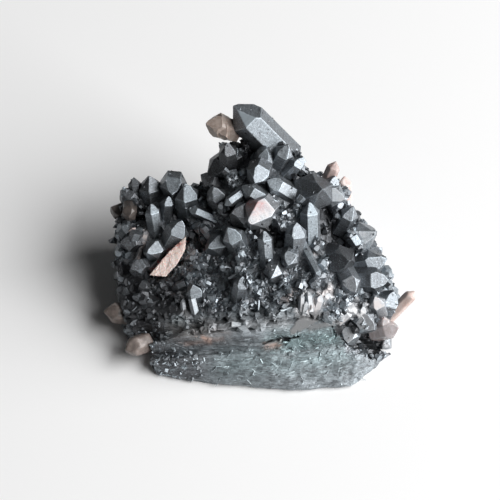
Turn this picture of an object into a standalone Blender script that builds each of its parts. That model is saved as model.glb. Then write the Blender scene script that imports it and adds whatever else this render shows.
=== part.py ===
"""Hematite on quartz: a hand specimen of hematite-coated quartz crystals on broken vein rock.

Metres, +Z up. The specimen rests on its flat broken underside with its show face toward -Y.
Places on the show face are given in millimetres as they are seen from SHOW_ELEVATION above the
horizon: across is +X and up is the other direction of that plane, both from the face's middle.
"""

import math
import random
from dataclasses import dataclass
from itertools import product

import bmesh
import bpy
from mathutils import Matrix, Vector
from mathutils.bvhtree import BVHTree

# Driving dimensions
MM = 0.001
SHOW_ELEVATION = math.radians(50.0)
GAP = 0.3 * MM
FLOOR_LAP = 3.0 * MM
CRUST_FOOT = 0.6 * MM

# Helpers' sizes: how far sight lines start out, how deep they search, and the floor cutter's half side
REACH = 300.0 * MM
SEARCH_DEPTH_MM = 60
FLOOR_HALF = 90.0 * MM

# Crystal habit: the point's faces dip 52 degrees from the prism's end, and every other one is larger.
# Heights and setbacks are shares of the crystal's width
POINT_DIP = math.radians(51.8)
PRISM_TAPER = 0.93
TIP_HEIGHT = 0.3
MINOR_FACE_SETBACK = 0.12
UNEVEN_SETBACK = 0.1
FLATTENING = (1.0, 1.18)

# Small crystals that fill the crust between the placed ones
FILLER_SEED = 11
FILLER_TRIES = 1600
FILLER_LIMIT = 110
FILLER_WIDTH = (2.6, 4.6)
FILLER_SLENDERNESS = 1.6
FILLER_SPACING = 0.82
FILLER_TILT = 0.6
FILLER_STAND = (0.6, 1.6)
FILLER_LOWEST = 4.0 * MM
FILLER_ROOT = 2.0 * MM
GROUND_SPREAD = 36.0
GROUND_MIDDLE_HEIGHT = 16.0

# Directions of the show plane
RIGHT = Vector((1.0, 0.0, 0.0))
UPWARD = Vector((0.0, math.sin(SHOW_ELEVATION), math.cos(SHOW_ELEVATION)))
TOWARD = Vector((0.0, -math.cos(SHOW_ELEVATION), math.sin(SHOW_ELEVATION)))


@dataclass(frozen=True)
class Crystal:
    """A quartz crystal by the place of its head on the show face, in millimetres and degrees."""

    name: str
    across: float
    up: float
    width: float
    length: float
    heading: float
    lean: float
    twist: float = 0.0
    stand: float = 2.0
    height: float = None
    cuts: tuple = ()


@dataclass(frozen=True)
class Look:
    """Colour, metallic value and roughness of one material."""

    name: str
    color: tuple
    metallic: float
    roughness: float


HEMATITE = Look("hematite_coat", (0.085, 0.09, 0.1, 1.0), 0.75, 0.34)
ROCK = Look("matrix_rock", (0.22, 0.25, 0.26, 1.0), 0.2, 0.6)
BROWN_QUARTZ = Look("brown_quartz", (0.3, 0.22, 0.18, 1.0), 0.0, 0.35)
PALE_QUARTZ = Look("pale_quartz", (0.72, 0.56, 0.5, 1.0), 0.0, 0.3)
PINK_QUARTZ = Look("pink_quartz", (0.78, 0.56, 0.49, 1.0), 0.0, 0.5)

# The ground under the crystals: across, up and height above the base of each lump's corners
LUMPS = {
    "left_shoulder": [
        (-34.0, 15.2, 21.0), (-24.0, 17.0, 23.5), (-12.0, 15.8, 24.8), (-36.0, 3.5, 15.5),
        (-36.0, -8.0, 11.0), (-33.5, -19.0, 6.5), (-17.5, -18.0, 12.0), (-4.0, -16.0, 16.8),
        (-8.0, 10.0, 24.5),
    ],
    "peak_mass": [
        (-8.5, 27.5, 36.5), (1.5, 31.5, 39.0), (7.5, 26.0, 36.0), (-13.0, 14.0, 26.0),
        (18.0, 16.0, 27.5), (-5.0, -14.5, 17.5), (10.0, -13.0, 18.5), (20.0, -12.0, 15.5),
    ],
    "right_shoulder": [
        (20.0, 15.5, 26.0), (27.0, 4.0, 19.5), (31.0, -6.0, 13.5), (32.0, -15.0, 8.5),
        (21.0, -13.5, 14.0), (31.5, -24.0, 2.5), (24.0, -20.0, 8.0), (8.0, 10.0, 26.0),
    ],
    "upper_ledge": [
        (-28.0, -23.5, 7.0), (-17.0, -20.0, 12.0), (-5.0, -18.0, 16.8), (10.0, -14.5, 18.2),
        (20.0, -15.5, 14.5), (-26.0, -26.5, 3.5), (-5.0, -23.8, 8.5), (10.0, -21.5, 9.0), (24.0, -23.0, 6.0),
    ],
    "lower_ledge": [
        (-27.5, -27.0, 4.5), (-18.0, -26.5, 7.0), (-5.0, -25.5, 7.8), (10.0, -24.5, 7.0), (25.0, -24.0, 5.0),
        (-26.0, -31.2, 0.8), (-7.5, -33.6, 1.2), (7.5, -34.6, 1.4), (23.0, -34.0, 1.0), (33.0, -26.0, 1.2),
    ],
}

# The foot of each lump: x and y of its corners on the base
FEET = {
    "left_shoulder": [(-31.0, 2.5), (-35.0, -8.0), (-33.5, -30.0), (-20.0, -36.0), (-4.0, -34.0), (-8.0, 4.0)],
    "peak_mass": [(-14.0, 4.0), (-9.0, 9.5), (6.0, 12.0), (19.0, 7.0), (21.0, -28.0), (-8.0, -32.0)],
    "right_shoulder": [(10.0, 6.0), (24.0, 3.0), (31.5, -9.0), (33.0, -31.0), (20.0, -35.0), (8.0, -20.0)],
    "upper_ledge": [(-27.0, -36.5), (-5.0, -39.5), (11.0, -38.5), (26.0, -35.5), (22.0, -20.0), (-24.0, -24.0)],
    "lower_ledge": [(-25.5, -39.6), (-7.5, -43.2), (7.5, -44.6), (22.5, -43.6), (33.0, -32.4), (-27.5, -33.0)],
}

# The contact between the rock below and the crust above: x, y and height of the rock's corners, the
# last four of them below the base
CONTACT = [
    (-42.0, -31.0, 4.6), (-42.0, 30.0, 11.0), (-18.0, -60.0, 8.5), (-18.0, 30.0, 18.0),
    (-5.0, -60.0, 12.0), (10.0, -60.0, 13.0), (12.0, 30.0, 20.5), (21.0, -60.0, 9.0),
    (22.0, 30.0, 15.5), (38.0, -60.0, 1.0), (24.5, 30.0, 1.0),
    (-60.0, -60.0, -20.0), (-60.0, 30.0, -20.0), (24.5, 30.0, -20.0), (38.0, -60.0, -20.0),
]

CRYSTALS = [
    Crystal("peak", -4.2, 34.0, 8.2, 17.5, 135.0, 24.0, 2.0, 3.0, 42.0, cuts=(0.44, 0.32, 0.52, 0.5, 0.5, 0.42)),
    Crystal("peak_column", -8.2, 25.8, 4.4, 5.0, 96.0, 38.0, 20.0),
    Crystal("peak_speckled", -11.4, 19.6, 6.4, 7.0, 215.0, 20.0, 15.0, 4.4),
    Crystal("peak_side", -13.6, 18.2, 4.4, 9.0, 150.0, 30.0, 10.0),
    Crystal("peak_nub", 1.4, 24.6, 3.8, 6.0, 60.0, 58.0, 10.0),
    Crystal("peak_prism", 6.6, 25.2, 4.6, 9.0, 60.0, 40.0),
    Crystal("peak_right", 10.0, 22.4, 3.6, 6.0, 45.0, 30.0, 25.0),
    Crystal("brow", -0.8, 17.7, 5.8, 5.0, 250.0, 52.0, -14.0, 2.6),
    Crystal("brow_right", 2.8, 16.8, 4.8, 8.0, 150.0, 36.0, 8.0),
    Crystal("brow_low", -3.4, 15.2, 4.2, 8.0, 150.0, 16.0, 0.0, 2.4),
    Crystal("brow_bar", -8.2, 11.6, 2.6, 6.0, 216.0, 16.0, 0.0, 2.6),
    Crystal("brow_left", -11.2, 14.6, 5.0, 9.0, 110.0, 48.0, 12.0),
    Crystal("heart", -1.2, 8.2, 7.2, 6.0, 228.0, 58.0, -8.0, 3.2, cuts=(0.26, 0.42, 0.5, 0.5, 0.5, 0.42)),
    Crystal("heart_left", -5.6, 9.0, 6.2, 9.0, 170.0, 50.0, 30.0),
    Crystal("right_brow", 14.2, 14.8, 9.0, 13.0, 20.0, 68.0, -23.0, 3.2),
    Crystal("right_brow_upper", 18.6, 17.4, 4.2, 7.0, 65.0, 35.0, 20.0),
    Crystal("right_brow_pale", 19.8, 13.2, 5.4, 9.0, 340.0, 45.0, 0.0, 2.6),
    Crystal("right_brow_edge", 21.6, 14.6, 3.8, 7.0, 20.0, 24.0, 15.0),
    Crystal("column", 12.4, 10.4, 4.6, 10.0, 92.0, 25.0, 14.0, 3.0),
    Crystal("column_foot", 8.9, 5.4, 5.0, 6.0, 88.0, 34.0, 18.0, 3.0),
    Crystal("midway_tip", 7.0, -3.0, 4.4, 9.0, 250.0, 58.0),
    Crystal("midway_left", 1.2, 3.6, 3.6, 8.0, 95.0, 20.0, 18.0, 2.4),
    Crystal("midway_grey", 3.0, -6.4, 4.6, 8.0, 250.0, 60.0, 20.0),
    Crystal("needle", 14.6, -6.0, 1.9, 9.0, 298.0, 16.0, 0.0, 2.6),
    Crystal("left_face", -7.2, 4.4, 5.2, 8.0, 120.0, 42.0),
    Crystal("left_face_low", -12.0, 0.8, 5.6, 8.0, 200.0, 50.0, 10.0),
    Crystal("block", -4.4, -7.6, 3.8, 7.0, 80.0, 40.0, 14.0),
    Crystal("block_left", -16.4, -9.6, 4.2, 7.0, 100.0, 45.0, 10.0),
    Crystal("spark", 13.6, -8.0, 2.8, 5.0, 80.0, 74.0, 8.0),
    Crystal("right_round", 21.2, -2.6, 7.0, 10.0, 350.0, 62.0, 20.0, 3.2),
    Crystal("right_first", 27.4, 3.8, 7.0, 10.0, 15.0, 42.0, 5.0, 2.6),
    Crystal("right_second", 29.8, -2.6, 7.0, 11.0, 15.0, 30.0, 15.0, 2.6),
    Crystal("right_third", 30.4, -7.6, 6.0, 9.0, 0.0, 24.0, 0.0, 2.4),
    Crystal("right_upper", 22.8, 9.8, 4.4, 7.0, 60.0, 38.0, 5.0),
    Crystal("right_inner", 23.2, -9.6, 5.2, 9.0, 300.0, 45.0),
    Crystal("right_dark", 33.0, -11.6, 5.2, 6.0, 62.0, 38.0, 25.0, 2.0, 11.0),
    Crystal("right_pale", 29.0, -12.6, 4.2, 5.0, 110.0, 50.0, 10.0),
    Crystal("right_low", 27.6, -19.0, 5.8, 8.0, 325.0, 44.0),
    Crystal("right_cluster", 22.2, -22.2, 4.8, 8.0, 250.0, 52.0, 20.0),
    Crystal("right_foot", 32.0, -24.0, 4.4, 8.0, 320.0, 40.0, 10.0),
    Crystal("left_stand", -31.8, 17.4, 3.0, 9.0, 94.0, 20.0, 10.0),
    Crystal("left_edge", -34.2, 14.2, 4.4, 9.0, 132.0, 28.0, 22.0),
    Crystal("left_block", -27.8, 17.0, 5.8, 10.0, 95.0, 30.0, 25.0),
    Crystal("left_point", -22.0, 14.8, 6.0, 5.0, 265.0, 62.0),
    Crystal("left_bright", -23.2, 12.6, 3.2, 8.0, 80.0, 36.0, 16.0),
    Crystal("left_tall", -18.6, 15.0, 6.0, 11.0, 100.0, 34.0, 14.0, 2.6),
    Crystal("left_bar", -17.0, 10.2, 2.8, 7.0, 157.0, 16.0, 0.0, 2.6),
    Crystal("left_column", -27.2, 10.4, 3.8, 11.0, 100.0, 22.0, 20.0, 2.4),
    Crystal("left_middle", -20.0, 6.0, 5.6, 9.0, 60.0, 38.0, 14.0, 2.4),
    Crystal("left_round", -27.4, -0.4, 5.0, 7.0, 200.0, 60.0, 12.0),
    Crystal("left_low", -33.8, 2.0, 4.6, 8.0, 180.0, 40.0, 10.0),
    Crystal("left_lowest", -31.4, -4.6, 4.2, 8.0, 190.0, 50.0, 25.0),
]

# Bare quartz, node by node: the look and the crystals grown together in it
BARE_QUARTZ = {
    "peak_quartz_pair": (BROWN_QUARTZ, [
        Crystal("peak_pair_large", -12.0, 31.2, 5.4, 7.0, 168.0, 28.0, 30.0, height=39.5),
        Crystal("peak_pair_small", -8.8, 29.2, 4.4, 6.0, 290.0, 58.0, 10.0, height=38.8),
    ]),
    "left_quartz_outer": (BROWN_QUARTZ, [
        Crystal("left_outer", -36.8, 10.4, 4.0, 7.0, 150.0, 40.0, 10.0, height=17.8),
    ]),
    "left_quartz_inner": (BROWN_QUARTZ, [
        Crystal("left_inner", -32.9, 8.8, 3.5, 5.0, 268.0, 66.0, 18.0, stand=3.4),
    ]),
    "left_quartz_knob": (PALE_QUARTZ, [
        Crystal("left_knob", -37.8, -15.6, 5.0, 9.5, 172.0, 16.0, 8.0, height=6.4),
    ]),
    "lower_left_quartz": (PALE_QUARTZ, [
        Crystal("lower_left", -32.6, -24.6, 4.8, 6.0, 200.0, 36.0, 15.0, height=5.8),
    ]),
    "upper_right_quartz": (PALE_QUARTZ, [
        Crystal("upper_right", 18.8, 21.4, 3.2, 7.0, 66.0, 24.0, 10.0, height=30.4),
    ]),
    "shoulder_quartz": (PALE_QUARTZ, [
        Crystal("shoulder", 21.4, 17.6, 3.4, 6.0, 90.0, 20.0, 22.0, height=26.4),
    ]),
    "right_quartz_tip": (PALE_QUARTZ, [
        Crystal("right_tip", 38.3, -10.9, 3.0, 10.0, 46.0, 20.0, 5.0, height=11.0),
    ]),
    "right_quartz_pair": (PALE_QUARTZ, [
        Crystal("right_clear", 33.4, -19.6, 4.6, 6.0, 10.0, 34.0, 12.0, height=7.6),
        Crystal("right_reddish", 31.0, -17.4, 3.0, 6.0, 90.0, 48.0, 20.0, height=9.6),
    ]),
}

# The broken pink blade: its outline on the show face, and its thickness
BLADE_OUTLINE = [
    (-27.6, -6.4), (-26.8, -5.4), (-22.4, -0.6), (-18.2, 3.2), (-18.9, 0.2), (-21.0, -3.0), (-24.0, -6.2),
]
BLADE_THICKNESS = 4.4
BLADE_STAND = 2.0


def spot(across, up, height):
    """Point at a height above the base that is seen at across, up on the show face."""
    depth = (up - height * math.cos(SHOW_ELEVATION)) / math.sin(SHOW_ELEVATION)
    return Vector((across, depth, height)) * MM


def clear_scene():
    """Remove every object, mesh and collection that the file opened with."""
    for item in list(bpy.data.objects):
        bpy.data.objects.remove(item, do_unlink=True)
    for item in list(bpy.data.collections):
        bpy.data.collections.remove(item)


def new_collection(name):
    """Collection linked to the scene."""
    collection = bpy.data.collections.new(name)
    bpy.context.scene.collection.children.link(collection)
    return collection


def principled(look):
    """Principled material with a look's colour, metallic value and roughness."""
    material = bpy.data.materials.new(look.name)
    material.use_nodes = True
    shader = material.node_tree.nodes["Principled BSDF"]
    shader.inputs["Base Color"].default_value = look.color
    shader.inputs["Metallic"].default_value = look.metallic
    shader.inputs["Roughness"].default_value = look.roughness
    material.diffuse_color = look.color
    return material


def mesh_object(name, bm, collection):
    """Object in a collection from a bmesh, which it frees."""
    bmesh.ops.recalc_face_normals(bm, faces=bm.faces)
    mesh = bpy.data.meshes.new(name)
    bm.to_mesh(mesh)
    bm.free()
    item = bpy.data.objects.new(name, mesh)
    collection.objects.link(item)
    return item


def guide(item):
    """Mark an object as a cutter or a building block that isn't part of the specimen."""
    item.hide_render = True
    item.display_type = "WIRE"
    return item


def hull_mesh(corners, margin=0.0):
    """Convex bmesh around corners, grown by a margin along each axis."""
    bm = bmesh.new()
    steps = (-margin, margin) if margin else (0.0,)
    for corner in corners:
        for offset in product(steps, repeat=3):
            bm.verts.new(corner + Vector(offset))
    result = bmesh.ops.convex_hull(bm, input=bm.verts)
    spare = {item for key in ("geom_interior", "geom_unused") for item in result[key]}
    loose = [item for item in spare if isinstance(item, bmesh.types.BMVert)]
    bmesh.ops.delete(bm, geom=loose, context="VERTS")
    bmesh.ops.dissolve_limit(bm, angle_limit=math.radians(0.5), verts=bm.verts, edges=bm.edges)
    return bm


def clip(bm, point, normal):
    """Cut a closed bmesh with a plane, drop the side that the normal points to and cap the cut."""
    geometry = bm.verts[:] + bm.edges[:] + bm.faces[:]
    bmesh.ops.bisect_plane(bm, geom=geometry, plane_co=point, plane_no=normal, clear_outer=True)
    rim = [edge for edge in bm.edges if edge.is_boundary]
    bmesh.ops.holes_fill(bm, edges=rim, sides=0)


def point_cuts(uneven):
    """How high up the axis each of a point's six faces cuts it, every other one higher."""
    steps = [TIP_HEIGHT + MINOR_FACE_SETBACK * (side % 2) for side in range(6)]
    return [step + uneven.uniform(0.0, UNEVEN_SETBACK) for step in steps]


def crystal_mesh(crystal):
    """Six-sided prism with a six-faced point: its head's middle at the origin, its tip toward +Z."""
    width = crystal.width * MM
    length = crystal.length * MM
    radius = width / 2.0 / math.cos(math.pi / 6.0)
    bm = bmesh.new()
    bmesh.ops.create_cone(
        bm, cap_ends=True, segments=6, radius1=radius, radius2=radius * PRISM_TAPER, depth=length + width,
        matrix=Matrix.Translation((0.0, 0.0, (width - length) / 2.0)),
    )
    uneven = random.Random(crystal.name)
    for side, setback in enumerate(crystal.cuts or point_cuts(uneven)):
        facing = math.radians(60.0 * side)
        normal = Vector((math.cos(facing), math.sin(facing), 0.0)) * math.sin(POINT_DIP)
        normal.z = math.cos(POINT_DIP)
        clip(bm, Vector((0.0, 0.0, width * setback)), normal)
    bmesh.ops.scale(bm, vec=(uneven.uniform(*FLATTENING), 1.0, 1.0), verts=bm.verts)
    bmesh.ops.rotate(bm, matrix=Matrix.Rotation(math.radians(crystal.twist), 3, "Z"), verts=bm.verts)
    return bm


def crystal_axis(crystal):
    """Direction in which a crystal points, from its heading on the show face and its lean out of it."""
    heading = math.radians(crystal.heading)
    lean = math.radians(crystal.lean)
    flat = RIGHT * math.cos(heading) + UPWARD * math.sin(heading)
    return flat * math.cos(lean) + TOWARD * math.sin(lean)


def crystal_turn(axis):
    """Rotation that aims +Z along an axis and +X as far as it can out of the show face."""
    outward = (TOWARD - axis * TOWARD.dot(axis)).normalized()
    return Matrix((outward, axis.cross(outward), axis)).transposed().to_quaternion()


def place_crystal(crystal, head, axis, collection):
    """Crystal object standing with its head at a point, aimed along an axis."""
    item = mesh_object(crystal.name, crystal_mesh(crystal), collection)
    item.rotation_mode = "QUATERNION"
    item.rotation_quaternion = crystal_turn(axis)
    item.location = head
    return item


class Ground:
    """The lumps under the crystals, for finding where a line of sight meets them."""

    def __init__(self, lumps):
        """Collect the lumps' faces in one search tree."""
        points = []
        faces = []
        for lump in lumps:
            start = len(points)
            points += [vertex.co.copy() for vertex in lump.data.vertices]
            faces += [[start + index for index in face.vertices] for face in lump.data.polygons]
        self.tree = BVHTree.FromPolygons(points, faces)

    def face(self, across, up, stand):
        """Point seen at across, up that stands off the ground, or passes nearest to it."""
        sight = (RIGHT * across + UPWARD * up) * MM
        hit = self.tree.ray_cast(sight + TOWARD * REACH, -TOWARD)[0]
        if hit is not None:
            return hit + TOWARD * stand * MM
        steps = [sight + TOWARD * MM * depth for depth in range(-SEARCH_DEPTH_MM, SEARCH_DEPTH_MM)]
        above = [point for point in steps if point.z > FLOOR_LAP]
        return min(above, key=lambda point: self.tree.find_nearest(point)[3])

    def head(self, crystal):
        """Middle of a crystal's head, at its stated height or just off the ground."""
        if crystal.height is not None:
            return spot(crystal.across, crystal.up, crystal.height)
        return self.face(crystal.across, crystal.up, crystal.stand)

    def random_spot(self, dice):
        """Point and normal on the ground, struck from a random side of the upper half space."""
        azimuth = dice.uniform(0.0, 2.0 * math.pi)
        height = dice.uniform(0.05, 1.0)
        flat = math.sqrt(1.0 - height * height)
        outward = Vector((flat * math.cos(azimuth), flat * math.sin(azimuth), height))
        shift = Vector([dice.uniform(-GROUND_SPREAD, GROUND_SPREAD) * MM for _ in range(3)])
        middle = spot(0.0, 0.0, GROUND_MIDDLE_HEIGHT)
        hit, normal = self.tree.ray_cast(middle + shift + outward * REACH, -outward)[:2]
        return hit, normal


class Contact:
    """The rock's boundary with the crust."""

    def __init__(self):
        """Corners of the rock's block, carried well below the base."""
        self.corners = [Vector(corner) * MM for corner in CONTACT]

    def block(self, name, margin, collection):
        """Guide block of the rock's side of the contact, grown by a margin."""
        return guide(mesh_object(name, hull_mesh(self.corners, margin), collection))

    def covers(self, point):
        """Tell whether a point lies on the rock's side."""
        bm = hull_mesh(self.corners)
        bmesh.ops.recalc_face_normals(bm, faces=bm.faces)
        inside = all((point - face.verts[0].co).dot(face.normal) < 0.0 for face in bm.faces)
        bm.free()
        return inside


def build_lumps(collection):
    """Guide lumps of the specimen's body, carried a little below the base."""
    lumps = []
    for name, corners in LUMPS.items():
        points = [spot(*corner) for corner in corners]
        points += [Vector((x * MM, y * MM, -FLOOR_LAP)) for x, y in FEET[name]]
        lumps.append(guide(mesh_object(name, hull_mesh(points), collection)))
    return lumps


def build_placed_crystals(ground, collection):
    """Guide crystals at their places on the show face."""
    places = []
    for crystal in CRYSTALS:
        head = ground.head(crystal)
        guide(place_crystal(crystal, head, crystal_axis(crystal), collection))
        places.append((head, crystal.width * MM))
    return places


def build_fillers(ground, contact, taken, collection):
    """Guide crystals that fill the rest of the crust, standing out from it at seeded places."""
    dice = random.Random(FILLER_SEED)
    taken = list(taken)
    count = 0
    for attempt in range(FILLER_TRIES):
        if count == FILLER_LIMIT:
            break
        hit, normal = ground.random_spot(dice)
        width = dice.uniform(*FILLER_WIDTH)
        tilt = Vector([dice.uniform(-FILLER_TILT, FILLER_TILT) for _ in range(3)])
        if hit is None or hit.z < FILLER_LOWEST or contact.covers(hit - normal * FILLER_ROOT):
            continue
        reach = FILLER_SPACING * MM * width / 2.0
        crowded = any((hit - point).length < reach + FILLER_SPACING * other / 2.0 for point, other in taken)
        if crowded:
            continue
        name = f"filler_{attempt}"
        twist = dice.uniform(0.0, 60.0)
        crystal = Crystal(name, 0.0, 0.0, width, width * FILLER_SLENDERNESS, 0.0, 0.0, twist)
        axis = (normal + tilt).normalized()
        head = hit + axis * dice.uniform(*FILLER_STAND) * MM
        guide(place_crystal(crystal, head, axis, collection))
        taken.append((hit, width * MM))
        count += 1


def build_bare_quartz(ground, specimen, guides, sockets):
    """Bare quartz nodes, each fused from its crystals, and the sockets that they sit in."""
    places = []
    for name, (look, crystals) in BARE_QUARTZ.items():
        node = None
        for crystal in crystals:
            head = ground.head(crystal)
            item = place_crystal(crystal, head, crystal_axis(crystal), guides if node else specimen)
            places.append((head, crystal.width * MM))
            add_socket(item, sockets)
            if node:
                add_boolean(node, "UNION", guide(item))
            else:
                node = item
        node.name = name
        node.data.materials.append(principled(look))
    return places


def build_blade(ground, collection):
    """The broken pink blade, a flat wedge set into the crust."""
    corners = []
    for across, up in BLADE_OUTLINE:
        face = ground.face(across, up, BLADE_STAND)
        corners += [face, face - TOWARD * BLADE_THICKNESS * MM]
    item = mesh_object("pink_quartz_blade", hull_mesh(corners), collection)
    item.data.materials.append(principled(PINK_QUARTZ))
    return item


def add_socket(item, sockets):
    """Guide solid that cuts an item's seat with the gap all round it."""
    corners = [item.matrix_basis @ vertex.co for vertex in item.data.vertices]
    return guide(mesh_object(f"socket_{item.name}", hull_mesh(corners, GAP), sockets))


def add_boolean(item, operation, operand):
    """Exact Boolean modifier with an object or a collection."""
    modifier = item.modifiers.new(f"{operation.lower()}_{operand.name}", "BOOLEAN")
    modifier.operation = operation
    modifier.solver = "EXACT"
    if isinstance(operand, bpy.types.Collection):
        modifier.operand_type = "COLLECTION"
        modifier.collection = operand
    else:
        modifier.object = operand


def centre_on_base(specimen):
    """Parent every object to an empty that brings the middle of the specimen's base to the origin."""
    bpy.context.view_layer.update()
    graph = bpy.context.evaluated_depsgraph_get()
    points = []
    for item in specimen.objects:
        shape = item.evaluated_get(graph)
        points += [shape.matrix_world @ vertex.co for vertex in shape.to_mesh().vertices]
        shape.to_mesh_clear()
    low = Vector([min(point[axis] for point in points) for axis in range(3)])
    high = Vector([max(point[axis] for point in points) for axis in range(3)])
    origin = bpy.data.objects.new("specimen_origin", None)
    bpy.context.scene.collection.objects.link(origin)
    for item in list(bpy.data.objects):
        if item is not origin:
            item.parent = origin
    origin.location = (-(low.x + high.x) / 2.0, -(low.y + high.y) / 2.0, -low.z)


def build_rock(seed, body, contact, sockets, specimen, guides):
    """The matrix: the body's lumps on the rock's side of the contact, cut flat underneath."""
    rock = mesh_object("quartz_matrix", hull_mesh(seed), specimen)
    rock.data.materials.append(principled(ROCK))
    add_boolean(rock, "UNION", body)
    add_boolean(rock, "INTERSECT", contact.block("rock_side", 0.0, guides))
    add_boolean(rock, "DIFFERENCE", floor_block("rock_floor", 0.0, guides))
    add_boolean(rock, "DIFFERENCE", sockets)


def build_druse(seed, body, growth, contact, sockets, specimen, guides):
    """The crust: the lumps and the coated crystals fused, less the rock's side of the contact."""
    druse = mesh_object("hematite_druse", hull_mesh(seed), specimen)
    druse.data.materials.append(principled(HEMATITE))
    add_boolean(druse, "UNION", body)
    add_boolean(druse, "UNION", growth)
    add_boolean(druse, "DIFFERENCE", contact.block("crust_side", GAP, guides))
    add_boolean(druse, "DIFFERENCE", floor_block("crust_floor", CRUST_FOOT, guides))
    add_boolean(druse, "DIFFERENCE", sockets)


def floor_block(name, margin, guides):
    """Guide block that fills the space under the base, grown by a margin."""
    sides = (-FLOOR_HALF, FLOOR_HALF)
    corners = [Vector(corner) for corner in product(sides, sides, (-FLOOR_HALF, 0.0))]
    return guide(mesh_object(name, hull_mesh(corners, margin), guides))


def main():
    """Build the specimen's nodes in order: bare quartz, rock, crust."""
    clear_scene()
    specimen = new_collection("hematite_on_quartz")
    guides = new_collection("guides")
    body = new_collection("body_lumps")
    growth = new_collection("coated_crystals")
    sockets = new_collection("crystal_sockets")

    lumps = build_lumps(body)
    ground = Ground(lumps)
    contact = Contact()
    placed = build_placed_crystals(ground, growth)
    bare = build_bare_quartz(ground, specimen, guides, sockets)
    blade = build_blade(ground, specimen)
    add_socket(blade, sockets)
    blade_corners = [vertex.co.copy() for vertex in blade.data.vertices]
    taken = placed + bare + [(corner, BLADE_THICKNESS * MM) for corner in blade_corners]
    build_fillers(ground, contact, taken, growth)

    seed = [vertex.co.copy() for vertex in lumps[0].data.vertices]
    build_rock(seed, body, contact, sockets, specimen, guides)
    build_druse(seed, body, growth, contact, sockets, specimen, guides)
    centre_on_base(specimen)


main()
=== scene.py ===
"""Hematite on quartz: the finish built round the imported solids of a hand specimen.

Metres, +Z up, with the show face toward -Y. Places on the show face are given in millimetres as they
are seen from SHOW_ELEVATION above the horizon: across is +X, up is the view plane's other direction,
and toward is the depth out of that plane.
"""

import logging
import math
import random
from contextlib import contextmanager
from dataclasses import dataclass, field
from enum import Enum
from typing import Callable, Iterator, Mapping, Sequence

import bpy
import numpy as np
from mathutils import Matrix, Vector
from mathutils.bvhtree import BVHTree


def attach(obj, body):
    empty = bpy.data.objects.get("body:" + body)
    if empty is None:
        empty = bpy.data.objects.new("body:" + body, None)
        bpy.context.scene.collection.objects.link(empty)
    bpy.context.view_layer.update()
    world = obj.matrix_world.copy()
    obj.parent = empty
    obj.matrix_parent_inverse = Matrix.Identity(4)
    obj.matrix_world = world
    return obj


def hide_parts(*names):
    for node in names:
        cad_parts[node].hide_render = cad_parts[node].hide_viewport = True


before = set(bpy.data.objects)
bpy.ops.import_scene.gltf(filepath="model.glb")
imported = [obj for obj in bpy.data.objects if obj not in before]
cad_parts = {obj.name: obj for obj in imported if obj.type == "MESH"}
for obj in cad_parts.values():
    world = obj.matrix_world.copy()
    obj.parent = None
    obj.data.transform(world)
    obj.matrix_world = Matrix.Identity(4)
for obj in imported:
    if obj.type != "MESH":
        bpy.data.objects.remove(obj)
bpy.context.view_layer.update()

LOG = logging.getLogger("hematite_on_quartz")
Piece = bpy.types.Object
Material = bpy.types.Material
Pair = tuple[float, float]
Triple = tuple[float, float, float]
Colour = Triple

MM = 0.001
BODY = "root"
CRUST_NODE, ROCK_NODE = "hematite_druse", "quartz_matrix"
COAT_SLOT, ROCK_SLOT = "hematite_coat", "matrix_rock"
BROWN_SLOT, PALE_SLOT, PINK_SLOT = "brown_quartz", "pale_quartz", "pink_quartz"
WELD = 1e-6
FLAT_ANGLE = math.radians(0.5)
SHOW_ELEVATION = math.radians(50.0)
RIGHT = Vector((1.0, 0.0, 0.0))
UPWARD = Vector((0.0, math.sin(SHOW_ELEVATION), math.cos(SHOW_ELEVATION)))
TOWARD = Vector((0.0, -math.cos(SHOW_ELEVATION), math.sin(SHOW_ELEVATION)))
# Where the show face's across 0, up 0 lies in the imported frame
FACE_ORIGIN = Vector((0.248, 16.387, 0.0)) * MM
# How far off sight lines start
REACH = 300.0 * MM
# In degrees
SIXTH_TURN = 60.0
# Size at which the small forms are cut, which becomes their one unit
FORM_SIZE = 10.0 * MM
# Height above the floor below which nothing reaches
CLEARANCE = 0.02 * MM
# Standing grains also point away from here, by this share beside the ground's own normal
CORE = Vector((0.0, 0.0, 2.0)) * MM
OUTWARD_PULL = 0.9
# How loosely a lying grain turns about its own length
SIDE_LOOSENESS = 0.2
# Grains grow from this height on, plus this share of their width
LOWEST_GRAIN = 0.4 * MM
LOWEST_SHARE = 0.4
# Length of the waves between crowded and bald places, in millimetres
CROWDING_SIZE = 7.0
# Half the width within which grains stand, so that none sticks out past the specimen's sides
GRAIN_SPREAD = 35.2 * MM
# The wavering's directions, and the shift from each to the next
WAVE_RUNS = ((1.0, 0.31, 0.2), (-0.4, 1.1, 0.35), (0.55, -0.7, 1.2), (1.9, 1.3, -0.8))
WAVE_SHIFT = 1.7

# Crystal habit, as in the part's source: the point's faces dip 52 degrees from the prism's end
POINT_DIP = math.radians(51.8)
PRISM_TAPER = 0.93
TIP_HEIGHT = 0.3
MINOR_FACE_SETBACK = 0.12
UNEVEN_SETBACK = 0.1
FLATTENING = (1.0, 1.18)


class Mark(Enum):
    """What a patch of the surface shows. The value is the attribute that carries its share."""

    ROCK = "rock"
    TEAL = "teal"
    BARE = "bare"
    WARM = "warm"
    RED = "red"
    SCALY = "scaly"
    # Deep places: sunk into the surface, and darkened there as painted shade
    DEEP_SHADE = "deep"
    SMOOTH = "smooth"
    CRUMB = "crumb"
    BLADED = "bladed"


class Lay(Enum):
    """How scattered grains lie on the surface that carries them."""

    STANDING = "standing"
    ALONG = "along"


@dataclass(frozen=True)
class Patch:
    """A streak on the show face, between two places in millimetres, with its half width."""

    start: Pair
    end: Pair
    radius: float
    share: float = 1.0
    blur: float = 0.35


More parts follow.
